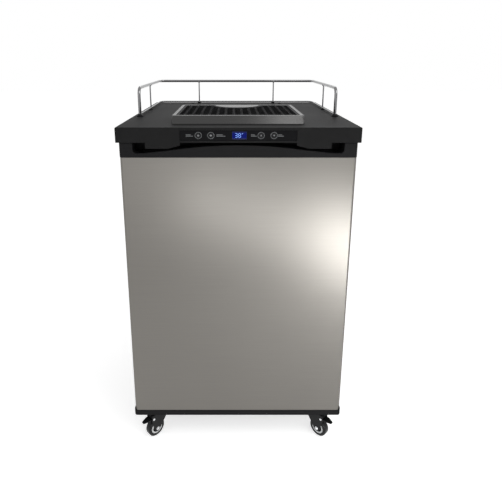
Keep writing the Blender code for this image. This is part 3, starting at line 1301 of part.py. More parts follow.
def build_evaporator():
    """Cold plate on the rear wall, its fan and the white cover with a spoked guard."""
    low, top = shroud_levels()
    back = CAVITY_REAR - GAP
    face = CAVITY_REAR - SHROUD_DEPTH
    middle = (low + top) / 2
    half = SHROUD_HALF_WIDTH
    bm = box((-half, face, low), (half, back, top))
    soften(bm, lambda a, b: is_near(a.y, face) and is_near(b.y, face), SHROUD_EDGE, 2)
    shroud = add_object("fan_shroud", bm, "liner_white")
    wall = SHROUD_WALL
    room = box((wall - half, face + wall, low + wall), (half - wall, back + OVERRUN, top - wall))
    soften(room, lambda a, b: is_near(a.y, face + wall) and is_near(b.y, face + wall),
           SHROUD_EDGE - wall, 2)
    vents = bmesh.new()
    for i in range(SMALL_SIDES):
        start = 360 * i / SMALL_SIDES
        spread = 360 / SMALL_SIDES
        gap_out = math.degrees(GUARD_WIRE / FAN_HOLE_RADIUS)
        gap_in = math.degrees(GUARD_WIRE / FAN_HUB_RADIUS)
        wedge = arc((0, middle), FAN_HOLE_RADIUS, start + gap_out, start + spread - gap_out, 2)
        wedge += arc((0, middle), FAN_HUB_RADIUS, start + spread - gap_in, start + gap_in, 1)
        add_prism(vents, wedge, "Y", face - OVERRUN, face + wall + OVERRUN)
    bmesh.ops.recalc_face_normals(vents, faces=vents.faces)
    cut(shroud, add_tool("shroud_room_cutter", room), add_tool("guard_cutter", vents))

    plate_half = half - wall - PAN_CLEARANCE
    plate_face = back - EVAPORATOR_SHEET
    plate = box((-plate_half, plate_face, low + wall + PAN_CLEARANCE),
                (plate_half, back, top - wall - PAN_CLEARANCE))
    add_object("evaporator_plate", plate, "evaporator")

    fan_y = face + wall + FAN_FROM_FACE
    fan_back = fan_y + FAN_DEPTH
    motor_face = fan_back + TINY_EDGE
    profile = [(FAN_SHAFT_RADIUS, fan_y + TINY_EDGE), (FAN_SHAFT_RADIUS, motor_face),
               (MOTOR_RADIUS, motor_face), (MOTOR_RADIUS, plate_face - GAP)]
    add_object("fan_motor", turned(profile, "Y", (0, 0, middle), SMALL_SIDES), "motor_steel")
    build_fan((0, fan_y, middle))


def build_fan(place):
    bore = FAN_SHAFT_RADIUS + FAN_SHAFT_CLEARANCE
    profile = [(bore, 0), (FAN_HUB_RADIUS, 0), (FAN_HUB_RADIUS, FAN_DEPTH), (bore, FAN_DEPTH)]
    fan = add_object("circulation_fan", turned(profile, "Y", (0, 0, 0), SMALL_SIDES, ring=True),
                     "fan_plastic", place)
    blades = bmesh.new()
    root = FAN_HUB_RADIUS * FAN_ROOT_SHARE
    for i in range(FAN_BLADES):
        turn = Matrix.Rotation(2 * math.pi * i / FAN_BLADES, 4, "Y")
        loops = []
        for share, chord_share in FAN_STATION_SHARES:
            radius = root + (FAN_RADIUS - root) * share
            half = FAN_HUB_RADIUS * FAN_CHORD_SHARE * chord_share
            front = FAN_DEPTH / 2 - FAN_BLADE_TWIST
            rear = FAN_DEPTH / 2 + FAN_BLADE_TWIST
            section = [(-half, front, radius), (half, rear, radius),
                       (half, rear - FAN_BLADE_SHEET, radius), (-half, front - FAN_BLADE_SHEET, radius)]
            loops.append([turn @ Vector(point) for point in section])
        loft(blades, loops)
    bmesh.ops.recalc_face_normals(blades, faces=blades.faces)
    fuse(fan, add_tool("fan_blades", blades, place))


def build_interior():
    y = CABINET_FRONT + LIGHT_FROM_FRONT
    top = CAVITY_TOP - GAP
    bm = box((-LIGHT_HALF_WIDTH, y, top - LIGHT_HEIGHT), (LIGHT_HALF_WIDTH, y + LIGHT_DEPTH, top))
    soften(bm, lambda a, b: is_near(a.z, top - LIGHT_HEIGHT) and is_near(b.z, top - LIGHT_HEIGHT),
           LIGHT_HEIGHT / 3, 2)
    add_object("interior_light", bm, "light_lens")
    margin = KEG_FLOOR_MARGIN
    half = CAVITY_HALF_WIDTH - margin
    outline = rounded_rectangle((-half, CABINET_FRONT + margin), (half, HUMP_FRONT - margin), margin)
    low = CAVITY_FLOOR + GAP
    add_object("keg_floor", prism(outline, "Z", low, low + KEG_FLOOR_SHEET), "keg_floor")


def build_kegerator():
    bore, holes, window = tower_bore(), panel_holes(), window_hole()
    build_worktop(bore, holes, window)
    build_panel(holes, window)
    build_buttons()
    build_board()
    build_tower_hole()
    build_tray()
    build_rail()
    build_shell(bore)
    build_liner(bore)
    build_foam(bore)
    build_base()
    build_interior()
    build_evaporator()
    build_compressor()
    build_condenser()
    build_skin()
    build_door_core()
    build_base_trim()
    build_top_trim()
    build_gasket()
    build_brackets()
    build_castors()


clear_scene()
SHADES = {name: make_material(name, *look) for name, look in MATERIALS.items()}
build_kegerator()
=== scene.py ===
import json
import math

import bmesh
import bpy
from mathutils import Matrix, Vector


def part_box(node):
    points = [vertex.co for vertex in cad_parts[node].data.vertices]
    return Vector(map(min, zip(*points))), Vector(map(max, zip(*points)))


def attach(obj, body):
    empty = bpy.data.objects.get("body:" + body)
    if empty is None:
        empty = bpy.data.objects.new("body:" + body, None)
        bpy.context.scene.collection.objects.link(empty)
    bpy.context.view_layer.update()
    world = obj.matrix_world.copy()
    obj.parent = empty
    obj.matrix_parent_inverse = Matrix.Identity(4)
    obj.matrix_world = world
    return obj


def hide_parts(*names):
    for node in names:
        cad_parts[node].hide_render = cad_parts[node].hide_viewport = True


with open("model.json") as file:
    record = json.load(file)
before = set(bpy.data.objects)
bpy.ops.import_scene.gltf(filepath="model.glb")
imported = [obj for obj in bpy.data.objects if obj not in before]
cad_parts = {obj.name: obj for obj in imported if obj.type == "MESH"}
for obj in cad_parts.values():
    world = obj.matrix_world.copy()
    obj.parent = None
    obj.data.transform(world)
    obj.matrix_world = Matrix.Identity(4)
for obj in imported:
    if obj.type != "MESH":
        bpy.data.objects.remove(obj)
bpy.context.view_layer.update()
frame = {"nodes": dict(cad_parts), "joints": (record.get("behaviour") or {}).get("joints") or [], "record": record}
nodes = frame["nodes"]

# Camera: fitted to the photograph, with a smaller vertical shift than the exact fit asks for,
# because the views from other sides keep it and would cut the object
LENS = 32.6
SHIFT = (0.038, -0.150)
CAMERA_PLACE = (-0.016, -1.432, 1.107)
CAMERA_PITCH = 14.5

# Lamps: name, place, target, size, watts, roll. The last four shine in the steel of the front.
LAMPS = (
    ("key", (1.9, -1.7, 2.6), (0, 0, 0.6), (1.6, 1.6), 34, 0),
    ("fill", (-2.4, -2.2, 1.8), (0, 0, 0.5), (2.0, 2.0), 10, 0),
    ("back", (0.4, 2.4, 2.4), (0, 0, 0.8), (2.0, 1.2), 11, 0),
    ("spot", (0.64, -1.32, 0.19), (0.28, -0.32, 0.63), (0.46, 0.26), 4.2, -17),
    ("strip", (0.24, -1.32, 0.29), (0.10, -0.32, 0.67), (1.10, 0.18), 2.4, -15),
    ("glint", (0.33, -0.83, 2.24), (0.13, -0.26, 0.95), (0.24, 0.24), 0.90, 0),
    ("sheet", (0.0, -1.32, 0.58), (0.0, -0.32, 0.81), (1.30, 0.36), 0.7, -5),
)
ROOM_LIGHT = 0.45
FLOOR_HALF = 14.0
FLOOR_DROP = 0.0002
FLOOR_TONE = 0.86
FLOOR_GLOW = 0.60

# How meshes are made
WELD = 0.00001
FLAT_ANGLE = 0.5
EDGE_ANGLE = 35
AREA_WEIGHT = 100
ROUND_SIDES = 56
BEND_STEPS = 10

# Sizes in metres and counts, most of them shared with the solids of the frame
DECK_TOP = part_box("drip_tray_surround")[0].z - 0.0003
CAB_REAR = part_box("back_panel")[1].y
RAIL_RADIUS = 0.0045
RAIL_BEND = 0.020
ROD_RADIUS = 0.0025
ROD_HEIGHT = 0.0062
POST_RADIUS = ROD_RADIUS * 0.9
SIDE_POST_Y = 0.0750
REAR_POST_X = 0.138
WELD_BEAD = 0.0006
CORNER_BEAD = 0.0025
DECK_SCREW_X = 0.161
DECK_SCREW_INSET = 0.012
DECK_SINK = DECK_TOP - 0.0004
TYRE_WIDTH = 0.020
TYRE_RADIUS = 0.0275
TYRE_ROUND = 0.004
HUB_RADIUS = 0.0185
HUB_BORE = 0.0043
FORK_TOP_Z = 0.0792
FORK_SIDE_GAP = 0.0015
FORK_SHEET = 0.0025
FORK_INNER = TYRE_WIDTH / 2 + FORK_SIDE_GAP
FORK_OUTER = FORK_INNER + FORK_SHEET
FORK_CROWN = FORK_TOP_Z - TYRE_RADIUS
AXLE_HEAD_RADIUS = 0.007
CASTOR_TRAIL = 0.024
PEDAL_TRAIL = 0.036
PEDAL_Z = 0.066
FORK_EAR = PEDAL_TRAIL - CASTOR_TRAIL + 0.006
CHEEK_LEAD = -CASTOR_TRAIL - 0.01425
CROWN_LEAD = -CASTOR_TRAIL - 0.019
PEDAL_LENGTH = 0.031
PEDAL_DROP = 0.0015
PEDAL_TIP_SHARE = 0.55
PEDAL_WAIST = PEDAL_LENGTH * 0.45
PEDAL_RIBS = 6
PEDAL_RIB_PITCH = 0.0037
PLATE_HALF = 0.022
PLATE_SHEET = 0.0025
BOLT_HALF = 0.016
PRINT = 0.00005
BUTTONS = (("button_power", "power_button"), ("button_light", "light_button"),
           ("button_warmer", "warmer_button"), ("button_colder", "colder_button"))
DASHES = ((-0.130, -0.112), (-0.054, -0.032), (0.031, 0.045), (0.098, 0.112))
DIGIT_SIZE = (0.0052, 0.0104)
SEGMENT = 0.0011
COIL_RADIUS = 0.0024
COIL_RUNS = 12
BACK_SCREWS = 4
LOUVRE_ROWS = 9
LOUVRE_PITCH = 0.014
LOUVRE_LENGTH = 0.150
LOUVRE_X = 0.105
COMPRESSOR_RADIUS = 0.052
PLATE_REACH = 0.100
PLATE_DEPTH = 0.080
FOOT_INSET = 0.0098
BLADES = 5
BLADE_STEPS = 6
BLADE_ROOT = 0.0125
BLADE_SPAN = 0.0333


# Materials


def new_material(name):
    mat = bpy.data.materials.new(name)
    mat.use_nodes = True
    tree = mat.node_tree
    return mat, tree, tree.nodes["Principled BSDF"]


def add_node(tree, kind, **values):
    """A shader node; keys that name an input set it, the others are attributes."""
    node = tree.nodes.new(kind)
    for key, value in values.items():
        spaced = key.replace("_", " ")
        match = [entry for entry in node.inputs if entry.name.lower() == spaced]
        if match:
            match[0].default_value = value
        else:
            setattr(node, key, value)
    return node


def grain(tree, scale, detail=3.0, stretch=(1, 1, 1)):
    """Noise in the object's own coordinates, stretched along chosen axes."""
    place = add_node(tree, "ShaderNodeTexCoord")
    scaled = add_node(tree, "ShaderNodeMapping")
    scaled.inputs["Scale"].default_value = stretch
    noise = add_node(tree, "ShaderNodeTexNoise", scale=scale, detail=detail)
    tree.links.new(place.outputs["Object"], scaled.inputs["Vector"])
    tree.links.new(scaled.outputs["Vector"], noise.inputs["Vector"])
    return noise.outputs["Fac"]


def ranged(tree, value, low, high):
    node = add_node(tree, "ShaderNodeMapRange")
    node.inputs["To Min"].default_value = low
    node.inputs["To Max"].default_value = high
    tree.links.new(value, node.inputs["Value"])
    return node.outputs["Result"]


def two_tones(tree, value, dark, light):
    """Blend from a dark to a light tone over the middle of the noise's range."""
    ramp = add_node(tree, "ShaderNodeValToRGB")
    for element, position, tone in zip(ramp.color_ramp.elements, (0.3, 0.7), (dark, light)):
        element.position = position
        element.color = (*tone, 1)
    tree.links.new(value, ramp.inputs["Fac"])
    return ramp.outputs["Color"]


def upward(tree):
    """How far a face points up: 1 for a level top, 0 for an upright face."""
    facing = add_node(tree, "ShaderNodeNewGeometry")
    parts = add_node(tree, "ShaderNodeSeparateXYZ")
    tree.links.new(facing.outputs["Normal"], parts.inputs[0])
    return parts.outputs["Z"]


def bumped(tree, shader, height, strength, distance):
    bump = add_node(tree, "ShaderNodeBump")
    bump.inputs["Strength"].default_value = strength
    bump.inputs["Distance"].default_value = distance
    tree.links.new(height, bump.inputs["Height"])
    tree.links.new(bump.outputs["Normal"], shader.inputs["Normal"])


def shade(color, factor):
    return tuple(channel * factor for channel in color)


def plastic(name, color, roughness, texture, depth, coat=0.0, shine=0.5, spread=0.12):
    """Moulded plastic: a fine pebble in the surface, faint patches in tone and gloss."""
    mat, tree, shader = new_material(name)
    patches = grain(tree, 9.0, 4.0)
    tree.links.new(two_tones(tree, patches, shade(color, 1 - spread), shade(color, 1 + spread)),
                   shader.inputs["Base Color"])
    tree.links.new(ranged(tree, patches, roughness - 0.05, roughness + 0.05),
                   shader.inputs["Roughness"])
    bumped(tree, shader, grain(tree, texture, 2.0), 0.35, depth)
    shader.inputs["Coat Weight"].default_value = coat
    shader.inputs["Specular IOR Level"].default_value = shine
    return mat


def brushed(name, color, roughness, along, contrast=0.10, depth=0.00003, rim=1.0):
    """Brushed sheet: long fine scratches along one axis, with cloudy tone over them; rim tones
    what shines at a flat angle."""
    mat, tree, shader = new_material(name)
    stretch = [220.0, 220.0, 220.0]
    stretch["XYZ".index(along)] = 1.6
    lines = grain(tree, 4.0, 6.0, tuple(stretch))
    clouds = grain(tree, 2.2, 2.0)
    mixed = add_node(tree, "ShaderNodeMix", data_type="RGBA", blend_type="MULTIPLY")
    mixed.inputs["Factor"].default_value = 1.0
    tree.links.new(two_tones(tree, lines, shade(color, 1 - contrast), shade(color, 1 + contrast)),
                   mixed.inputs["A"])
    tree.links.new(two_tones(tree, clouds, (0.93, 0.93, 0.93), (1.0, 1.0, 1.0)), mixed.inputs["B"])
    tree.links.new(mixed.outputs["Result"], shader.inputs["Base Color"])
    tree.links.new(ranged(tree, lines, roughness - 0.06, roughness + 0.06),
                   shader.inputs["Roughness"])
    shader.inputs["Metallic"].default_value = 1.0
    shader.inputs["Specular Tint"].default_value = (rim, rim, rim, 1)
    bumped(tree, shader, lines, 0.25, depth)
    return mat


def metal(name, color, roughness):
    """Smooth metal with faint patches in tone and gloss."""
    mat, tree, shader = new_material(name)
    patches = grain(tree, 60.0, 3.0)
    tree.links.new(two_tones(tree, patches, shade(color, 0.93), shade(color, 1.04)),
                   shader.inputs["Base Color"])
    tree.links.new(ranged(tree, patches, roughness * 0.8, roughness * 1.25),
                   shader.inputs["Roughness"])
    shader.inputs["Metallic"].default_value = 1.0
    bumped(tree, shader, patches, 0.2, 0.00002)
    return mat


def glow(name, color, light, strength):
    """A lit part of the display: its own colour, with a faint uneven glow."""
    mat, tree, shader = new_material(name)
    patches = grain(tree, 260.0, 2.0)
    tree.links.new(two_tones(tree, patches, shade(color, 0.85), shade(color, 1.15)),
                   shader.inputs["Base Color"])
    shader.inputs["Roughness"].default_value = 0.25
    shader.inputs["Specular IOR Level"].default_value = 0.06
    shader.inputs["Emission Color"].default_value = (*light, 1)
    tree.links.new(ranged(tree, patches, strength * 0.85, strength * 1.1),
                   shader.inputs["Emission Strength"])
    return mat


LOOKS = {}


def add_look(kind, name, *values, **named):
    LOOKS[name] = kind(name, *values, **named)


add_look(plastic, "deck_plastic", (0.0140, 0.0140, 0.0142), 0.58, 1400.0, 0.00010, shine=0.035)
add_look(plastic, "panel_film", (0.0065, 0.0065, 0.0072), 0.30, 500.0, 0.00002, shine=0.035)
add_look(plastic, "display_lens", (0.004, 0.008, 0.060), 0.12, 300.0, 0.00001, 0.2, 0.15)
add_look(plastic, "button_plastic", (0.0095, 0.0095, 0.0105), 0.34, 1500.0, 0.00003, shine=0.15)
add_look(plastic, "board", (0.020, 0.140, 0.050), 0.40, 700.0, 0.00004)
add_look(plastic, "trim_plastic", (0.0075, 0.0075, 0.0080), 0.42, 1300.0, 0.00008, shine=0.08)
add_look(brushed, "brushed_steel", (0.172, 0.164, 0.151), 0.33, "X", 0.04, 0.00001)
# tray steel: the brushed steel painted much darker than the door's, as painted shade for the dark it reflects
add_look(brushed, "tray_steel", (0.060, 0.0595, 0.059), 0.24, "X", 0.07, rim=0.8)
add_look(brushed, "keg_floor", (0.420, 0.420, 0.420), 0.38, "X")
add_look(plastic, "tray_plastic", (0.0070, 0.0070, 0.0074), 0.40, 1500.0, 0.00005, shine=0.08)
add_look(metal, "rail_chrome", (0.205, 0.205, 0.208), 0.13)
add_look(plastic, "cabinet_paint", (0.026, 0.026, 0.028), 0.46, 1100.0, 0.00015)
add_look(plastic, "liner_white", (0.740, 0.750, 0.760), 0.36, 600.0, 0.00005, spread=0.015)
add_look(plastic, "foam", (0.780, 0.660, 0.400), 0.85, 250.0, 0.0006)
add_look(metal, "zinc_steel", (0.680, 0.690, 0.705), 0.28)
add_look(plastic, "gasket_rubber", (0.095, 0.095, 0.100), 0.60, 900.0, 0.00006)
add_look(plastic, "compressor_paint", (0.018, 0.018, 0.020), 0.30, 400.0, 0.0001, 0.2)
add_look(plastic, "foot_rubber", (0.028, 0.028, 0.028), 0.72, 900.0, 0.0001)
add_look(plastic, "coil_paint", (0.020, 0.020, 0.022), 0.42, 800.0, 0.00005)
add_look(metal, "evaporator", (0.700, 0.710, 0.720), 0.34)
add_look(plastic, "fan_plastic", (0.050, 0.050, 0.055), 0.40, 900.0, 0.00004)
add_look(metal, "motor_steel", (0.300, 0.300, 0.310), 0.40)
add_look(plastic, "light_lens", (0.850, 0.870, 0.900), 0.20, 300.0, 0.00003, 0.3, spread=0.02)
add_look(plastic, "castor_paint", (0.0075, 0.0080, 0.0085), 0.30, 900.0, 0.00006, shine=0.14)
add_look(plastic, "castor_tyre", (0.0050, 0.0055, 0.0060), 0.24, 700.0, 0.00004, 0.12, 0.14)
add_look(plastic, "castor_hub", (0.560, 0.570, 0.575), 0.34, 900.0, 0.00004)


def enamel(name, color, lit_top_tone):
    """Enamel with painted light: faces that point up are painted lighter, as tops lit from above."""
    mat = plastic(name, color, 0.62, 1500.0, 0.00005, shine=0.03)
    tree = mat.node_tree
    shader = tree.nodes["Principled BSDF"]
    patches = shader.inputs["Base Color"].links[0].from_socket
    # painted light: the colour turns to the lighter tone as a face points up
    mixed = add_node(tree, "ShaderNodeMix", data_type="RGBA")
    tree.links.new(ranged(tree, upward(tree), 0.0, 1.0), mixed.inputs["Factor"])
    tree.links.new(patches, mixed.inputs["A"])
    mixed.inputs["B"].default_value = (*lit_top_tone, 1)
    tree.links.new(mixed.outputs["Result"], shader.inputs["Base Color"])
    return mat


# drip grid: near-black enamel, with painted light on the tops of its walls
add_look(enamel, "grid_enamel", (0.0030, 0.0030, 0.0032), (0.038, 0.038, 0.040))
add_look(plastic, "print_white", (0.17, 0.175, 0.18), 0.5, 900.0, 0.00001, shine=0.1)
add_look(glow, "display_blue", (0.001, 0.002, 0.016), (0.008, 0.026, 0.60), 0.20)
add_look(glow, "digits", (0.10, 0.18, 0.45), (0.24, 0.42, 1.0), 0.95)

# Looks that aren't named like a slot of the record, and the solid that wears one of them
LOOK_OF = {"drip_grid": "grid_enamel"}
SLOT_OF = {entry["node"]: entry["material_slot"] for entry in frame["record"]["subparts"]}
for name, item in nodes.items():
    item.data.materials.clear()
    item.data.materials.append(LOOKS[LOOK_OF.get(name, SLOT_OF[name])])


# Modelling helpers


def link_piece(piece, body, instead=()):
    bpy.context.scene.collection.objects.link(piece)
    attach(piece, body)
    if instead:
        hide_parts(*instead)
    return piece


def add_piece(name, bm, look, body, instead=(), place=None, sharp=EDGE_ANGLE):
    """A mesh piece that rides on a body and may stand for solids of the frame."""
    bmesh.ops.recalc_face_normals(bm, faces=bm.faces)
    mesh = bpy.data.meshes.new(name)
    bm.to_mesh(mesh)
    bm.free()
    mesh.materials.append(LOOKS[look])
    mesh.shade_smooth()
    mesh.set_sharp_from_angle(angle=math.radians(sharp))
    if place is not None:
        mesh.transform(place)
    return link_piece(bpy.data.objects.new(name, mesh), body, instead)


def bevel(piece, width, segments=2, angle=EDGE_ANGLE):
    """Round a piece's sharp edges; its flat faces keep their own shading."""
    modifier = piece.modifiers.new("edges", "BEVEL")
    modifier.width = width
    modifier.segments = segments
    modifier.limit_method = "ANGLE"
    modifier.angle_limit = math.radians(angle)
    modifier.harden_normals = True


def eased(node, width):
    """Weld a frame solid's facets into whole flat faces and ease its sharp edges."""
    item = nodes[node]
    weld = item.modifiers.new("weld", "WELD")
    weld.merge_threshold = WELD
    flat = item.modifiers.new("flat", "DECIMATE")
    flat.decimate_type = "DISSOLVE"
    flat.angle_limit = math.radians(FLAT_ANGLE)
    item.data.shade_smooth()
    bevel(item, width)
    weigh = item.modifiers.new("weigh", "WEIGHTED_NORMAL")
    weigh.weight = AREA_WEIGHT


def loft(bm, loops, ring=False):
    """Skin closed loops of equal length; a ring joins the last to the first, else caps close it."""
    rows = [[bm.verts.new(point) for point in loop] for loop in loops]
    pairs = list(zip(rows, rows[1:]))
    if ring:
        pairs.append((rows[-1], rows[0]))
    for lower, upper in pairs:
        for i in range(len(lower)):
            j = (i + 1) % len(lower)
            bm.faces.new((lower[i], lower[j], upper[j], upper[i]))
    if not ring:
        bm.faces.new(list(reversed(rows[0])))
        bm.faces.new(rows[-1])


def on_axis(u, v, w, axis):
    return Vector({"X": (w, u, v), "Y": (u, w, v), "Z": (u, v, w)}[axis])


def turn(bm, profile, axis, centre=(0, 0, 0), sides=ROUND_SIDES, ring=False):
    """Revolve (radius, height) pairs about an axis through the centre."""
    loops = []
    for radius, height in profile:
        loops.append([on_axis(radius * math.cos(2 * math.pi * i / sides),
                              radius * math.sin(2 * math.pi * i / sides), height, axis)
                      + Vector(centre) for i in range(sides)])
    loft(bm, loops, ring)


def arc(centre, radius, start, stop, steps):
    """Points on an arc between two angles in degrees, both ends included."""
    angles = [math.radians(start + (stop - start) * i / steps) for i in range(steps + 1)]
    return [(centre[0] + radius * math.cos(a), centre[1] + radius * math.sin(a)) for a in angles]


def extrude(bm, outline, axis, low, high):
    """Push a flat outline along an axis, from one level to another."""
    loft(bm, [[on_axis(u, v, w, axis) for u, v in outline] for w in (low, high)])


def add_box(bm, low, high):
    middle = (Vector(low) + Vector(high)) / 2
    size = Vector(high) - Vector(low)
    place = Matrix.Translation(middle) @ Matrix.Diagonal((*size, 1))
    bmesh.ops.create_cube(bm, size=1, matrix=place)


def rounded(low, high, radius, steps=6):
    """Rectangle with rounded corners, counterclockwise."""
    points = []
    for (u, v), start in (((high[0], low[1]), -90), ((high[0], high[1]), 0),
                          ((low[0], high[1]), 90), ((low[0], low[1]), 180)):
        centre = (min(max(u, low[0] + radius), high[0] - radius),
                  min(max(v, low[1] + radius), high[1] - radius))
        points += arc(centre, radius, start, start + 90, steps)
    return points


def joint(name):
    return next(entry for entry in frame["joints"] if entry["name"] == name)


def across_place(entry):
    """Frame on a castor's joint: X along its heading, Y across the fork, Z up."""
    across = Vector(entry["axis"]).normalized()
    heading = across.cross(Vector((0, 0, 1)))
    turned = Matrix(((heading.x, across.x, 0), (heading.y, across.y, 0), (0, 0, 1)))
    return Matrix.Translation(Vector(entry["pos_m"])) @ turned.to_4x4()


def smooth_route(points, radius):
    """Round the corners of a polyline with arcs of one radius."""
    route = [Vector(points[0])]
    for before, corner, after in zip(points, points[1:], points[2:]):
        corner = Vector(corner)
        back = (Vector(before) - corner).normalized()
        ahead = (Vector(after) - corner).normalized()
        half = back.angle(ahead) / 2
        centre = corner + (back + ahead).normalized() * radius / math.sin(half)
        first = corner + back * radius / math.tan(half) - centre
        last = corner + ahead * radius / math.tan(half) - centre
        for i in range(BEND_STEPS + 1):
            spin = Matrix.Rotation(first.angle(last) * i / BEND_STEPS, 3, first.cross(last))
            route.append(centre + spin @ first)
    route.append(Vector(points[-1]))
    return route


def tube(name, routes, radius, look, body, instead=()):
    """Round bars along routes, as one curve piece."""
    data = bpy.data.curves.new(name, "CURVE")
    data.dimensions = "3D"
    data.bevel_depth = radius
    data.bevel_resolution = 5
    data.use_fill_caps = True
    for route in routes:
        spline = data.splines.new("POLY")
        spline.points.add(len(route) - 1)
        for point, place in zip(spline.points, route):
            point.co = (*place, 1)
        spline.use_smooth = True
    data.materials.append(LOOKS[look])
    link_piece(bpy.data.objects.new(name, data), body, instead)


def screw_head(bm, centre, radius, height):
    """A pan head that faces the rear."""
    turn(bm, [(radius, 0), (radius, height * 0.45), (radius * 0.8, height * 0.85),
              (radius * 0.45, height)], "Y", centre, 24)


# Guard rail


def rail_lines():
    """Half width, front and rear of the rail's tube, and where its posts stand."""
    low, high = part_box("guard_rail")
    x, front, rear = high.x - RAIL_RADIUS, low.y + RAIL_RADIUS, high.y - RAIL_RADIUS
    posts = [(-x, SIDE_POST_Y), (x, SIDE_POST_Y), (-REAR_POST_X, rear), (REAR_POST_X, rear)]
    return x, front, rear, posts


def add_ball(bm, centre, radius):
    bmesh.ops.create_uvsphere(bm, u_segments=20, v_segments=12, radius=radius,
                              matrix=Matrix.Translation(centre))


def build_rail():
    """Bent tube with a thin lower bar and posts, and beads where they are welded."""
    low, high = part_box("guard_rail")
    x, front, rear, posts = rail_lines()
    top, foot = high.z - RAIL_RADIUS, low.z
    left = smooth_route([(-x, front, foot), (-x, front, top), (-x, rear, top), (0, rear, top)],
                        RAIL_BEND)
    right = [Vector((-p.x, p.y, p.z)) for p in reversed(left[:-1])]
    tube("rail_tube", [left + right], RAIL_RADIUS, "rail_chrome", "cabinet", ["guard_rail"])
    bar_z = DECK_TOP + ROD_HEIGHT
    corners = [(-x, front, bar_z), (-x, rear, bar_z), (x, rear, bar_z), (x, front, bar_z)]
    tube("rail_lower_bar", [smooth_route(corners, RAIL_BEND)], ROD_RADIUS, "rail_chrome", "cabinet")
    tube("rail_posts", [[Vector((u, v, bar_z)), Vector((u, v, top))] for u, v in posts],
         POST_RADIUS, "rail_chrome", "cabinet")
    welds = bmesh.new()
    for u, v in posts:
        add_ball(welds, (u, v, top - 2 * WELD_BEAD), RAIL_RADIUS + WELD_BEAD)
        add_ball(welds, (u, v, bar_z), ROD_RADIUS + WELD_BEAD)
    for u in (-x, x):
        add_ball(welds, (u, front, bar_z), ROD_RADIUS + CORNER_BEAD)
    add_piece("rail_welds", welds, "rail_chrome", "cabinet")


# Castors


def build_castor(corner):
    """Wheel with tyre, hub and dark rings in the hub's faces, and its fork."""
    place = across_place(joint("roll_" + corner))
    wheel = "wheel_" + corner
    half = TYRE_WIDTH / 2
    shoulder = arc((TYRE_RADIUS - TYRE_ROUND, TYRE_ROUND - half), TYRE_ROUND, -90, 0, 6)
    shoulder += arc((TYRE_RADIUS - TYRE_ROUND, half - TYRE_ROUND), TYRE_ROUND, 0, 90, 6)
    bm = bmesh.new()
    turn(bm, [(HUB_RADIUS, -half + 0.0008), (HUB_RADIUS + 0.0008, -half)] + shoulder
         + [(HUB_RADIUS + 0.0008, half), (HUB_RADIUS, half - 0.0008)], "Y", ring=True)
    add_piece("tyre_" + corner, bm, "castor_tyre", wheel, ["castor_tyre_" + corner], place)
    face = [(HUB_BORE, half - 0.0006), (HUB_BORE + 0.003, half - 0.0006),
            (HUB_BORE + 0.0034, half - 0.002), (HUB_RADIUS - 0.0062, half - 0.0045),
            (HUB_RADIUS - 0.0046, half - 0.0008), (HUB_RADIUS - 0.0040, half - 0.0002),
            (HUB_RADIUS - 0.0009, half - 0.0002), (HUB_RADIUS - 0.0002, half - 0.0009)]
    bm = bmesh.new()
    turn(bm, face + [(r, -h) for r, h in reversed(face)], "Y", ring=True)
    add_piece("hub_" + corner, bm, "castor_hub", wheel, ["castor_hub_" + corner], place)
    cover = [(HUB_BORE + 0.0002, half - 0.0040), (HUB_BORE + 0.0002, half - 0.0005),
             (HUB_BORE + 0.0030, half - 0.0005), (HUB_BORE + 0.0040, half - 0.0018),
             (HUB_RADIUS - 0.0060, half - 0.0036), (HUB_RADIUS - 0.0050, half - 0.0012),
             (HUB_RADIUS - 0.0052, half - 0.0050)]
    bm = bmesh.new()
    for side in (-1, 1):
        turn(bm, [(r, side * h) for r, h in cover], "Y", ring=True)
    add_piece("hub_cover_" + corner, bm, "castor_tyre", wheel, (), place)
    build_fork(corner, "fork_" + corner, place)


def cheek_outline():
    """Side of a fork's cheek: a round boss at the axle and an ear for the pedal's pin."""
    boss = arc((0, 0), AXLE_HEAD_RADIUS + 0.0025, 200, 352, 14)
    low_ear = PEDAL_Z - TYRE_RADIUS - 0.006
    return ([(CHEEK_LEAD, FORK_CROWN), (CHEEK_LEAD, low_ear + 0.002)] + boss
            + [(FORK_EAR, low_ear + 0.001), (FORK_EAR, FORK_CROWN)])


def build_fork(corner, body, place):
    """Two cheeks under a rounded crown, and an axle with washers and hex heads."""
    bm = bmesh.new()
    for low, high in ((-FORK_OUTER, -FORK_INNER), (FORK_INNER, FORK_OUTER)):
        extrude(bm, cheek_outline(), "Y", low, high)
    crown = rounded((CROWN_LEAD, -FORK_OUTER), (FORK_EAR, FORK_OUTER), FORK_OUTER * 0.7)
    extrude(bm, crown, "Z", FORK_CROWN - FORK_SHEET, FORK_CROWN)
    fork = add_piece("fork_" + corner, bm, "castor_paint", body, ["castor_fork_" + corner], place)
    bevel(fork, 0.0007, 3, 40)
    bm = bmesh.new()
    for side in (-1, 1):
        turn(bm, [(0.0052, side * (FORK_OUTER - 0.0002)), (0.0052, side * (FORK_OUTER + 0.0008)),
                  (0.0048, side * (FORK_OUTER + 0.0010))], "Y")
        turn(bm, [(0.0042, side * (FORK_OUTER + 0.0009)), (0.0042, side * (FORK_OUTER + 0.0022)),
                  (0.0034, side * (FORK_OUTER + 0.0028))], "Y", sides=6)
    turn(bm, [(0.0038, -FORK_OUTER), (0.0038, FORK_OUTER)], "Y")
    add_piece("axle_" + corner, bm, "zinc_steel", body, (), place, 30)


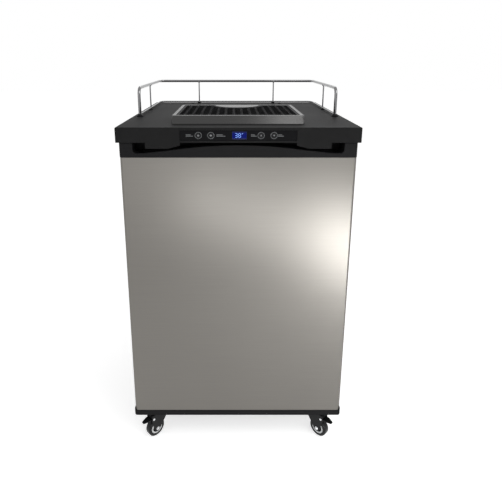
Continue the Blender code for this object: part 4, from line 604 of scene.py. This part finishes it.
def build_castor_plate(corner, swivel):
    """Mounting plate with rounded corners, a smooth ball race and four hex bolts."""
    low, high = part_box("castor_plate_" + corner)
    place = Matrix.Translation((swivel.x, swivel.y, 0))
    half, z = PLATE_HALF, high.z - PLATE_SHEET
    bm = bmesh.new()
    extrude(bm, rounded((-half, -half), (half, half), 0.004), "Z", z, high.z)
    bevel(add_piece("mount_plate_" + corner, bm, "castor_paint", "cabinet",
                    ["castor_plate_" + corner], place), 0.0005)
    bm = bmesh.new()
    race = low.z
    turn(bm, [(0.0128, race), (0.0141, race + 0.0012), (0.0158, race + 0.0036),
              (0.0160, race + 0.0048), (0.0152, race + 0.0056), (0.0158, race + 0.0064),
              (0.0158, z + 0.0002)], "Z")
    add_piece("ball_race_" + corner, bm, "castor_paint", "cabinet", (), place)
    bm = bmesh.new()
    for u in (-BOLT_HALF, BOLT_HALF):
        for v in (-BOLT_HALF, BOLT_HALF):
            turn(bm, [(0.0041, z - 0.0002), (0.0041, z - 0.0005)], "Z", (u, v, 0), 24)
            turn(bm, [(0.0036, z - 0.0004), (0.0036, z - 0.0026), (0.0030, z - 0.0030)], "Z",
                 (u, v, 0), 6)
    add_piece("plate_bolts_" + corner, bm, "zinc_steel", "cabinet", (), place, 25)


def build_pedal(corner):
    """Brake pedal with a barrel on the fork's pin, a rounded pad and six grip ribs."""
    place, body = across_place(joint("pedal_hinge_" + corner)), "pedal_" + corner
    half = TYRE_WIDTH / 2 + 0.0010
    bm = bmesh.new()
    turn(bm, [(0.0021, -half), (0.0031, -half), (0.0035, 0.0005 - half), (0.0035, half - 0.0005),
              (0.0031, half), (0.0021, half)], "Y", ring=True)
    add_piece("pedal_barrel_" + corner, bm, "castor_paint", body, ["brake_pedal_" + corner], place)
    drop = -PEDAL_DROP / PEDAL_LENGTH
    bm = bmesh.new()
    wide, narrow = half - 0.0006, half * PEDAL_TIP_SHARE - 0.0004
    tip = [(0.0028, -wide), (PEDAL_WAIST, -wide)]
    tip += arc((PEDAL_LENGTH - 0.0035, 0.0033 - narrow), 0.0033, -60, 0, 6)
    tip += arc((PEDAL_LENGTH - 0.0035, narrow - 0.0033), 0.0033, 0, 60, 6)
    tip += [(PEDAL_WAIST, wide), (0.0028, wide)]
    loft(bm, [[Vector((u, v, u * drop + lift)) for u, v in tip] for lift in (-0.0014, 0.0008)])
    for i in range(PEDAL_RIBS):
        u = 0.0085 + i * PEDAL_RIB_PITCH
        reach = half - 0.0025 - max(0, u - PEDAL_WAIST) * 0.28
        add_box(bm, (u, -reach, u * drop + 0.0004), (u + 0.0014, reach, u * drop + 0.0014))
    bevel(add_piece("pedal_pad_" + corner, bm, "castor_paint", body, (), place), 0.0003, 2)
    bm = bmesh.new()
    for side in (-1, 1):
        turn(bm, [(0.0035, side * (FORK_OUTER - 0.0002)), (0.0035, side * (FORK_OUTER + 0.0006)),
                  (0.0030, side * (FORK_OUTER + 0.0011)), (0.0018, side * (FORK_OUTER + 0.0014))],
             "Y", sides=32)
    turn(bm, [(0.0018, -FORK_OUTER), (0.0018, FORK_OUTER)], "Y", sides=32)
    add_piece("pedal_rivet_" + corner, bm, "zinc_steel", "fork_" + corner, (), place, 30)


# Control panel


def flat_ring(bm, outer, inner, centre, depth):
    """A thin ring that faces the front; depth is half its sheet."""
    x, y, z = centre
    turn(bm, [(inner, y - depth), (outer, y - depth), (outer, y + depth), (inner, y + depth)], "Y",
         (x, 0, z), 48, ring=True)


def digit_bars(bm, digit, x, z, y):
    """One seven-segment digit of slim bars."""
    lit = {"3": "abgcd", "8": "abcdefg"}[digit]
    reach, half = DIGIT_SIZE[0] / 2, DIGIT_SIZE[1] / 2
    flat = {"a": half, "g": 0, "d": -half}
    for name, level in flat.items():
        if name in lit:
            add_box(bm, (x - reach + SEGMENT * 0.7, y, z + level - SEGMENT / 2),
                    (x + reach - SEGMENT * 0.7, y + PRINT, z + level + SEGMENT / 2))
    sides = {"b": (1, 1), "c": (1, -1), "e": (-1, -1), "f": (-1, 1)}
    for name, (side, up) in sides.items():
        if name in lit:
            u = x + side * reach
            low, high = sorted((z + up * 0.0006, z + up * (half - 0.0006)))
            add_box(bm, (u - SEGMENT / 2, y, low), (u + SEGMENT / 2, y + PRINT, high))


def build_panel():
    low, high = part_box("control_panel")
    middle, face = (low.z + high.z) / 2, low.y - PRINT
    marks = bmesh.new()
    for node, body in BUTTONS:
        near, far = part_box(node)
        x, tip, depth = (near.x + far.x) / 2, near.y, far.y - near.y
        bm = bmesh.new()
        turn(bm, [(0.0044, 0.0002), (0.0050, 0), (0.0056, 0.0001), (0.0060, 0.0004),
                  (0.0062, 0.0009), (0.0062, depth - 0.0050), (0.0074, depth - 0.0050),
                  (0.0074, depth - 0.0040), (0.0025, depth - 0.0040), (0.0025, depth)],
             "Y", (x, tip, middle))
        add_piece(node + "_head", bm, "button_plastic", body, [node])
        bm = bmesh.new()
        if body in ("power_button", "light_button"):
            turn(bm, [(0.0026, 0.0001), (0.0026, 0.0003)], "Y", (x, tip, middle), 32)
        else:
            up = 1 if body == "warmer_button" else -1
            extrude(bm, [(x - 0.0026, middle - up * 0.0018), (x + 0.0026, middle - up * 0.0018),
                         (x, middle + up * 0.0026)], "Y", tip + 0.0001, tip + 0.0003)
        add_piece(node + "_mark", bm, "print_white", body)
        flat_ring(marks, 0.0086, 0.0076, (x, low.y, middle), PRINT)
    for start, stop in DASHES:
        for lift in (-0.0016, 0.0016):
            reach = stop if lift < 0 else start + (stop - start) * 0.7
            add_box(marks, (start, face, middle + lift - 0.0007),
                    (reach, low.y, middle + lift + 0.0007))
    add_piece("panel_marks", marks, "print_white", "cabinet")
    near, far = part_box("display_window")
    bm = bmesh.new()
    field = rounded((near.x + 0.0006, near.z + 0.0030), (far.x - 0.0006, far.z - 0.0030), 0.0012)
    extrude(bm, field, "Y", near.y - 0.0001, near.y + 0.0001)
    add_piece("display_field", bm, "display_blue", "cabinet")
    bm = bmesh.new()
    y = near.y - 0.0002
    digit_bars(bm, "3", -0.0055, middle, y)
    digit_bars(bm, "8", 0.0030, middle, y)
    flat_ring(bm, 0.0014, 0.0007, (0.0098, y + PRINT / 2, middle + 0.0045), PRINT / 2)
    add_piece("display_digits", bm, "digits", "cabinet")


# Worktop fittings


def build_worktop_fittings():
    """Cap and sleeve of the tower hole, feet of the rail, screws of the deck."""
    low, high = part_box("tower_hole_cap")
    centre = ((low.x + high.x) / 2, (low.y + high.y) / 2, 0)
    top = high.z
    bm = bmesh.new()
    turn(bm, [(0.0271, low.z), (0.0271, top - 0.0024), (0.0448, top - 0.0022),
              (0.0450, top - 0.0016), (0.0447, top - 0.0007), (0.0438, top - 0.0002),
              (0.0425, top), (0.0340, top - 0.0001), (0.0330, top - 0.0006),
              (0.0320, top - 0.0007)], "Z", centre, 72)
    add_piece("hole_cap", bm, "trim_plastic", "cabinet", ["tower_hole_cap"], None, 30)
    low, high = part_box("tower_sleeve")
    bm = bmesh.new()
    turn(bm, [(0.0244, low.z), (0.0271, low.z), (0.0271, high.z), (0.0244, high.z)],
         "Z", centre, 64, ring=True)
    add_piece("hole_sleeve", bm, "liner_white", "cabinet", ["tower_sleeve"])
    x, front, rear, posts = rail_lines()
    bm = bmesh.new()
    for u in (-x, x):
        turn(bm, [(0.0093, DECK_SINK), (0.0093, DECK_TOP + 0.0022), (0.0086, DECK_TOP + 0.0036),
                  (0.0068, DECK_TOP + 0.0050), (0.0058, DECK_TOP + 0.0076),
                  (0.0047, DECK_TOP + 0.0080)], "Z", (u, front, 0), 40)
    for u, v in posts:
        turn(bm, [(0.0063, DECK_SINK), (0.0063, DECK_TOP + 0.0024), (0.0056, DECK_TOP + 0.0034),
                  (0.0035, DECK_TOP + 0.0036)], "Z", (u, v, 0), 36)
    for u in (-DECK_SCREW_X, DECK_SCREW_X):
        turn(bm, [(0.0052, DECK_SINK), (0.0052, DECK_TOP + 0.0012), (0.0046, DECK_TOP + 0.0024),
                  (0.0030, DECK_TOP + 0.0031), (0.0016, DECK_TOP + 0.0032),
                  (0.0012, DECK_TOP + 0.0026)], "Z", (u, rear - DECK_SCREW_INSET, 0), 36)
    add_piece("rail_feet", bm, "trim_plastic", "cabinet")


# Back and machine compartment


def build_condenser():
    """Serpentine tube clipped to three flat straps."""
    low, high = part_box("condenser_coil")
    y = high.y - COIL_RADIUS
    half_width = high.x - COIL_RADIUS
    pitch = (high.z - low.z) / COIL_RUNS
    bend = pitch / 2
    end, bottom = half_width - bend, low.z + bend
    route = [Vector((end, y, bottom))]
    for run in range(COIL_RUNS - 1):
        side = 1 if run % 2 else -1
        for u, v in arc((end, bottom + run * pitch + bend), bend, -90, 90, 16):
            route.append(Vector((side * u, y, v)))
    route.append(Vector((end, y, bottom + (COIL_RUNS - 1) * pitch)))
    tube("condenser_tube", [route], COIL_RADIUS, "coil_paint", "cabinet", ["condenser_coil"])
    face = y - COIL_RADIUS + 0.0006
    straps, screws = bmesh.new(), bmesh.new()
    for x in (bend - end, 0, end - bend):
        extrude(straps, rounded((x - 0.006, low.z), (x + 0.006, high.z), 0.003), "Y",
                face - 0.0011, face)
        for run in range(COIL_RUNS):
            z = bottom + run * pitch
            for below, above in ((-0.0045, -0.0030), (0.0030, 0.0045)):
                add_box(straps, (x - 0.004, face - 0.0006, z + below),
                        (x + 0.004, y + COIL_RADIUS + 0.0003, z + above))
        for z in (low.z + 0.006, high.z - 0.006):
            add_box(straps, (x - 0.0035, CAB_REAR + 0.0002, z - 0.003),
                    (x + 0.0035, face - 0.0008, z + 0.003))
            screw_head(screws, (x, face, z), 0.0040, 0.0020)
    bevel(add_piece("condenser_straps", straps, "coil_paint", "cabinet"), 0.0003, 2)
    add_piece("strap_screws", screws, "zinc_steel", "cabinet")


def build_back():
    """Screws, the two bushes and the lips over the louvres."""
    screws = bmesh.new()
    for node in ("rear_cover", "back_panel"):
        low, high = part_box(node)
        for z in (low.z + 0.010, high.z - 0.010):
            for i in range(BACK_SCREWS):
                x = low.x + 0.020 + (high.x - low.x - 0.040) * i / (BACK_SCREWS - 1)
                screw_head(screws, (x, high.y, z), 0.0045, 0.0022)
    add_piece("back_screws", screws, "zinc_steel", "cabinet")
    low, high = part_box("gas_line_grommet")
    x, z = (low.x + high.x) / 2, (low.z + high.z) / 2
    bm = bmesh.new()
    turn(bm, [(0.0098, low.y), (0.0098, CAB_REAR + 0.0003), (0.0139, CAB_REAR + 0.0003),
              (0.0140, CAB_REAR + 0.0016), (0.0134, high.y - 0.0006), (0.0122, high.y),
              (0.0072, high.y), (0.0062, high.y - 0.0012), (0.0030, high.y - 0.0014)],
         "Y", (x, 0, z))
    add_piece("gas_bush", bm, "foot_rubber", "cabinet", ["gas_line_grommet"], None, 30)
    low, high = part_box("power_cord_gland")
    x, z = (low.x + high.x) / 2, (low.z + high.z) / 2
    bm = bmesh.new()
    profile = [(0.0079, low.y), (0.0079, CAB_REAR + 0.0003), (0.0118, CAB_REAR + 0.0003),
               (0.0120, CAB_REAR + 0.0016), (0.0112, CAB_REAR + 0.0030)]
    for i in range(4):
        start = CAB_REAR + 0.0034 + i * 0.0015
        profile += [(0.0088 - i * 0.0004, start), (0.0088 - i * 0.0004, start + 0.0009),
                    (0.0080 - i * 0.0004, start + 0.0011)]
    turn(bm, profile + [(0.0042, high.y), (0.0042, high.y - 0.0030)], "Y", (x, 0, z))
    add_piece("lead_bush", bm, "foot_rubber", "cabinet", ["power_cord_gland"], None, 30)
    lips = bmesh.new()
    low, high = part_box("rear_cover")
    middle = (low.z + high.z) / 2
    for row in range(LOUVRE_ROWS):
        z = middle + (row - (LOUVRE_ROWS - 1) / 2) * LOUVRE_PITCH
        for x in (-LOUVRE_X, LOUVRE_X):
            half = LOUVRE_LENGTH / 2
            section = [(CAB_REAR - 0.0004, z + 0.0046), (CAB_REAR + 0.0030, z + 0.0004),
                       (CAB_REAR + 0.0034, z - 0.0010), (CAB_REAR + 0.0026, z - 0.0008),
                       (CAB_REAR + 0.0020, z + 0.0006), (CAB_REAR - 0.0004, z + 0.0034)]
            extrude(lips, section, "X", x - half, x + half)
            for side in (-1, 1):
                u = x + side * half
                end = section[:3] + [(CAB_REAR - 0.0004, z - 0.0014)]
                extrude(lips, end, "X", u - 0.0004, u + 0.0004)
    bevel(add_piece("louvre_lips", lips, "cabinet_paint", "cabinet"), 0.0002, 1)


def build_compressor():
    """Domed pot with a seam, on a plate with rubber feet and a box for its wires."""
    low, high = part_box("compressor")
    plate_low = low.z + 0.0123
    plate_top = plate_low + 0.003
    centre_x, centre_y = low.x + PLATE_REACH, (low.y + high.y) / 2
    height, radius = high.z - plate_top, COMPRESSOR_RADIUS
    seam = plate_top + height * 0.52
    outline = [(0.72, 0.0), (0.80, 0.03), (0.87, 0.08), (0.92, 0.16), (0.95, 0.28), (0.96, 0.40)]
    profile = [(radius * w, plate_top + height * h) for w, h in outline]
    profile += [(radius * 0.96, seam), (radius * 0.995, seam + 0.0003), (radius, seam + 0.001),
                (radius, seam + 0.003), (radius * 0.995, seam + 0.0037),
                (radius * 0.96, seam + 0.004)]
    outline = [(0.955, 0.66), (0.93, 0.77), (0.87, 0.87), (0.76, 0.94), (0.60, 0.98), (0.40, 0.998)]
    profile += [(radius * w, plate_top + height * h) for w, h in outline]
    bm = bmesh.new()
    turn(bm, profile, "Z", sides=72)
    bmesh.ops.scale(bm, vec=(1.3, 1, 1), verts=bm.verts)
    bmesh.ops.translate(bm, vec=(centre_x, centre_y, 0), verts=bm.verts)
    add_piece("compressor_dome", bm, "compressor_paint", "cabinet", ["compressor"])
    bm = bmesh.new()
    depth = PLATE_DEPTH / 2
    plate = rounded((centre_x - PLATE_REACH, centre_y - depth),
                    (centre_x + PLATE_REACH, centre_y + depth), 0.008)
    extrude(bm, plate, "Z", plate_low, plate_top)
    start = centre_x + radius
    add_box(bm, (start, centre_y - 0.017, plate_top + height * 0.25),
            (start + 0.034, centre_y + 0.017, plate_top + height * 0.60))
    bevel(add_piece("compressor_plate", bm, "compressor_paint", "cabinet"), 0.0012, 3)
    feet, screws = bmesh.new(), bmesh.new()
    for u in (FOOT_INSET - PLATE_REACH, PLATE_REACH - FOOT_INSET):
        for v in (FOOT_INSET - depth, depth - FOOT_INSET):
            spot = (centre_x + u, centre_y + v, 0)
            turn(feet, [(0.0088, low.z), (0.0090, low.z + 0.0030), (0.0070, low.z + 0.0045),
                        (0.0070, low.z + 0.0075), (0.0090, low.z + 0.0090), (0.0088, plate_low)],
                 "Z", spot, 36)
            turn(screws, [(0.0058, plate_top), (0.0058, plate_top + 0.0008)], "Z", spot, 32)
            turn(screws, [(0.0042, plate_top + 0.0007), (0.0042, plate_top + 0.0036),
                          (0.0035, plate_top + 0.0040)], "Z", spot, 6)
    add_piece("compressor_feet", feet, "foot_rubber", "cabinet")
    add_piece("compressor_bolts", screws, "zinc_steel", "cabinet", (), None, 25)


# Cavity and door


def build_fan():
    """Rotor with a domed hub and five curved blades that thin towards their tips."""
    low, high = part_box("circulation_fan")
    centre = Vector(joint("fan_spin")["pos_m"])
    front, depth = low.y - centre.y, high.y - low.y
    bm = bmesh.new()
    turn(bm, [(0.0022, front), (0.0100, front), (0.0128, front + 0.0008), (0.0139, front + 0.0024),
              (0.0139, front + depth), (0.0022, front + depth)], "Y", sides=48, ring=True)
    place = Matrix.Translation(centre)
    add_piece("fan_hub", bm, "fan_plastic", "fan", ["circulation_fan"], place)
    bm = bmesh.new()
    for i in range(BLADES):
        spin_by = Matrix.Rotation(2 * math.pi * i / BLADES, 4, "Y")
        loops = []
        for step in range(BLADE_STEPS + 1):
            share = step / BLADE_STEPS
            radius = BLADE_ROOT + BLADE_SPAN * share
            half = 0.0075 + 0.0050 * math.sin(math.pi * 0.5 * min(1, share * 1.3))
            if step == BLADE_STEPS:
                half *= 0.8
            top, under = [], []
            for k in range(9):
                s = k / 8 * 2 - 1
                rise = front + depth / 2 + s * 0.0033 + (1 - s * s) * 0.0009
                sheet = 0.0006 * (1 - 0.6 * s * s)
                angle = s * half / radius
                u, w = radius * math.sin(angle), radius * math.cos(angle)
                top.append(spin_by @ Vector((u, rise + sheet, w)))
                under.append(spin_by @ Vector((u, rise - sheet, w)))
            loops.append(top + under[::-1])
        loft(bm, loops)
    add_piece("fan_blades", bm, "fan_plastic", "fan", (), place, 50)
    low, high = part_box("fan_motor")
    x, z = (low.x + high.x) / 2, (low.z + high.z) / 2
    bm = bmesh.new()
    turn(bm, [(0.0020, low.y), (0.0020, low.y + 0.0100), (0.0160, low.y + 0.0100),
              (0.0178, low.y + 0.0112), (0.0178, high.y)], "Y", (x, 0, z), 48)
    add_piece("fan_drive", bm, "motor_steel", "cabinet", ["fan_motor"], None, 30)


def build_gasket():
    """Hollow seal: a soft bead against the cabinet, a waist, and a flange on the door liner."""
    low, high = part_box("door_gasket")
    depth = high.y - low.y
    profile = [(0.0000, 0.0), (0.0140, 0.0), (0.0140, 0.0016), (0.0118, 0.0024), (0.0108, 0.0040),
               (0.0122, 0.0056), (0.0136, 0.0072), (0.0138, 0.0086), (0.0126, 0.0097),
               (0.0100, depth), (0.0040, depth), (0.0014, 0.0097), (0.0002, 0.0086),
               (0.0004, 0.0072), (0.0018, 0.0056), (0.0032, 0.0040), (0.0022, 0.0024),
               (0.0, 0.0016)]
    loops = []
    for inset, y in profile:
        outline = rounded((low.x + inset, low.z + inset), (high.x - inset, high.z - inset),
                          max(0.010 - inset * 0.4, 0.004), 5)
        loops.append([Vector((u, low.y + y, v)) for u, v in outline])
    bm = bmesh.new()
    loft(bm, loops, ring=True)
    add_piece("seal", bm, "gasket_rubber", "door", ["door_gasket"], None, 50)


def build_painted_shade_strip():
    """Painted shade: a black sheet on the liner's flange, from the seal up to the undercover and round the hinge.
    """
    low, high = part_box("cabinet_liner")
    hinge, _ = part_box("upper_hinge_bracket")
    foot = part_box("door_gasket")[1].z + 0.0015
    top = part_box("panel_undercover")[0].z - 0.0005
    step = hinge.z - 0.0005
    left, right, notch = low.x + 0.0004, high.x - 0.0004, hinge.x - 0.0005
    bm = bmesh.new()
    extrude(bm, [(left, foot), (right, foot), (right, step), (notch, step), (notch, top),
                 (left, top)], "Y", low.y - 0.00020, low.y + 0.00005)
    # painted shade: a black sheet that stands for the shade behind the door's top trim
    add_piece("painted_shade_strip", bm, "trim_plastic", "cabinet")


def build_lamp():
    """Lamp in the cavity: a base plate and a ribbed lens that bulges down."""
    low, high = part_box("interior_light")
    bm = bmesh.new()
    extrude(bm, rounded((low.x, low.y), (high.x, high.y), 0.004), "Z", high.z - 0.0035, high.z)
    bevel(add_piece("lamp_base", bm, "liner_white", "cabinet", ["interior_light"]), 0.0006)
    bm = bmesh.new()
    outline, count = [], 20
    for i in range(count + 1):
        v = low.y + 0.0015 + (high.y - low.y - 0.0030) * i / count
        sag = 0.0068 * math.sin(math.pi * i / count) ** 0.45
        outline.append((v, high.z - 0.0030 - sag - (0.0006 if i % 2 and 2 < i < count - 2 else 0)))
    extrude(bm, outline, "X", low.x + 0.0020, high.x - 0.0020)
    add_piece("lamp_lens", bm, "light_lens", "cabinet", (), None, 20)


# Width of the eased edges of the frame's own solids
EASED = {
    "worktop": 0.0010, "panel_undercover": 0.0005, "control_panel": 0.0004,
    "display_window": 0.0003, "control_board": 0.0002, "drip_tray_surround": 0.0005,
    "drip_pan": 0.0005, "drip_grid": 0.0006, "cabinet_shell": 0.0004, "cabinet_liner": 0.0006,
    "base_pan": 0.0004, "back_panel": 0.0003, "rear_cover": 0.0003, "keg_floor": 0.0010,
    "door_skin": 0.0003, "door_liner": 0.0008, "door_top_trim": 0.0010,
    "door_base_trim": 0.0012, "upper_hinge_bracket": 0.0006, "lower_hinge_bracket": 0.0006,
    "front_castor_bracket": 0.0006, "evaporator_plate": 0.0003, "fan_shroud": 0.0006,
}
for node, width in EASED.items():
    eased(node, width)
build_rail()
build_worktop_fittings()
build_panel()
build_condenser()
build_back()
build_compressor()
build_fan()
build_gasket()
build_painted_shade_strip()
build_lamp()
for corner in ("front_left", "front_right", "rear_left", "rear_right"):
    build_castor(corner)
    build_castor_plate(corner, Vector(joint("swivel_" + corner)["pos_m"]))
    if corner.startswith("front"):
        build_pedal(corner)


# Stage, lights and camera


def background_rays(tree):
    """One for rays from the camera, a mirror or a clear piece, else zero."""
    rays = add_node(tree, "ShaderNodeLightPath")
    total = rays.outputs["Is Camera Ray"]
    for name in ("Is Glossy Ray", "Is Transmission Ray"):
        larger = add_node(tree, "ShaderNodeMath", operation="MAXIMUM")
        tree.links.new(total, larger.inputs[0])
        tree.links.new(rays.outputs[name], larger.inputs[1])
        total = larger.outputs[0]
    return total


def build_stage():
    """White floor that the camera sees a little lighter than it is lit."""
    bm = bmesh.new()
    bmesh.ops.create_grid(bm, x_segments=1, y_segments=1, size=FLOOR_HALF)
    mesh = bpy.data.meshes.new("floor")
    bm.to_mesh(mesh)
    bm.free()
    floor = bpy.data.objects.new("floor", mesh)
    floor.location = (0, 0, -FLOOR_DROP)
    bpy.context.scene.collection.objects.link(floor)
    mat, tree, shader = new_material("floor_paint")
    shader.inputs["Base Color"].default_value = (FLOOR_TONE, FLOOR_TONE, FLOOR_TONE, 1)
    shader.inputs["Roughness"].default_value = 0.9
    lift = add_node(tree, "ShaderNodeMath", operation="MULTIPLY")
    lift.inputs[1].default_value = FLOOR_GLOW
    tree.links.new(background_rays(tree), lift.inputs[0])
    shader.inputs["Emission Color"].default_value = (1, 1, 1, 1)
    tree.links.new(lift.outputs[0], shader.inputs["Emission Strength"])
    mesh.materials.append(mat)


def build_world():
    """Dim white room, which cameras and mirrors see as plain white."""
    world = bpy.data.worlds.new("studio")
    bpy.context.scene.world = world
    world.use_nodes = True
    tree = world.node_tree
    plain = tree.nodes["Background"]
    plain.inputs["Color"].default_value = (1, 1, 1, 1)
    plain.inputs["Strength"].default_value = ROOM_LIGHT
    white = add_node(tree, "ShaderNodeBackground")
    white.inputs["Color"].default_value = (1, 1, 1, 1)
    white.inputs["Strength"].default_value = 1.0
    mixed = add_node(tree, "ShaderNodeMixShader")
    tree.links.new(background_rays(tree), mixed.inputs["Fac"])
    tree.links.new(plain.outputs["Background"], mixed.inputs[1])
    tree.links.new(white.outputs["Background"], mixed.inputs[2])
    tree.links.new(mixed.outputs["Shader"], tree.nodes["World Output"].inputs["Surface"])


def add_lamp(name, place, target, size, power, roll):
    """An area lamp that the camera doesn't see; roll turns it about its own aim."""
    data = bpy.data.lights.new(name, "AREA")
    data.shape = "RECTANGLE"
    data.size, data.size_y = size
    data.energy = power
    lamp = bpy.data.objects.new(name, data)
    lamp.location = place
    aim = Vector(target) - Vector(place)
    lamp.rotation_euler = (aim.to_track_quat("-Z", "Y").to_matrix()
                           @ Matrix.Rotation(math.radians(roll), 3, "Z")).to_euler()
    lamp.visible_camera = False
    bpy.context.scene.collection.objects.link(lamp)


def build_camera():
    data = bpy.data.cameras.new("camera")
    data.lens = LENS
    data.shift_x, data.shift_y = SHIFT
    camera = bpy.data.objects.new("camera", data)
    camera.location = CAMERA_PLACE
    camera.rotation_euler = (math.radians(90 - CAMERA_PITCH), 0, 0)
    bpy.context.scene.collection.objects.link(camera)
    bpy.context.scene.camera = camera


bpy.context.scene.view_settings.view_transform = "Standard"
build_stage()
build_world()
for values in LAMPS:
    add_lamp(*values)
build_camera()
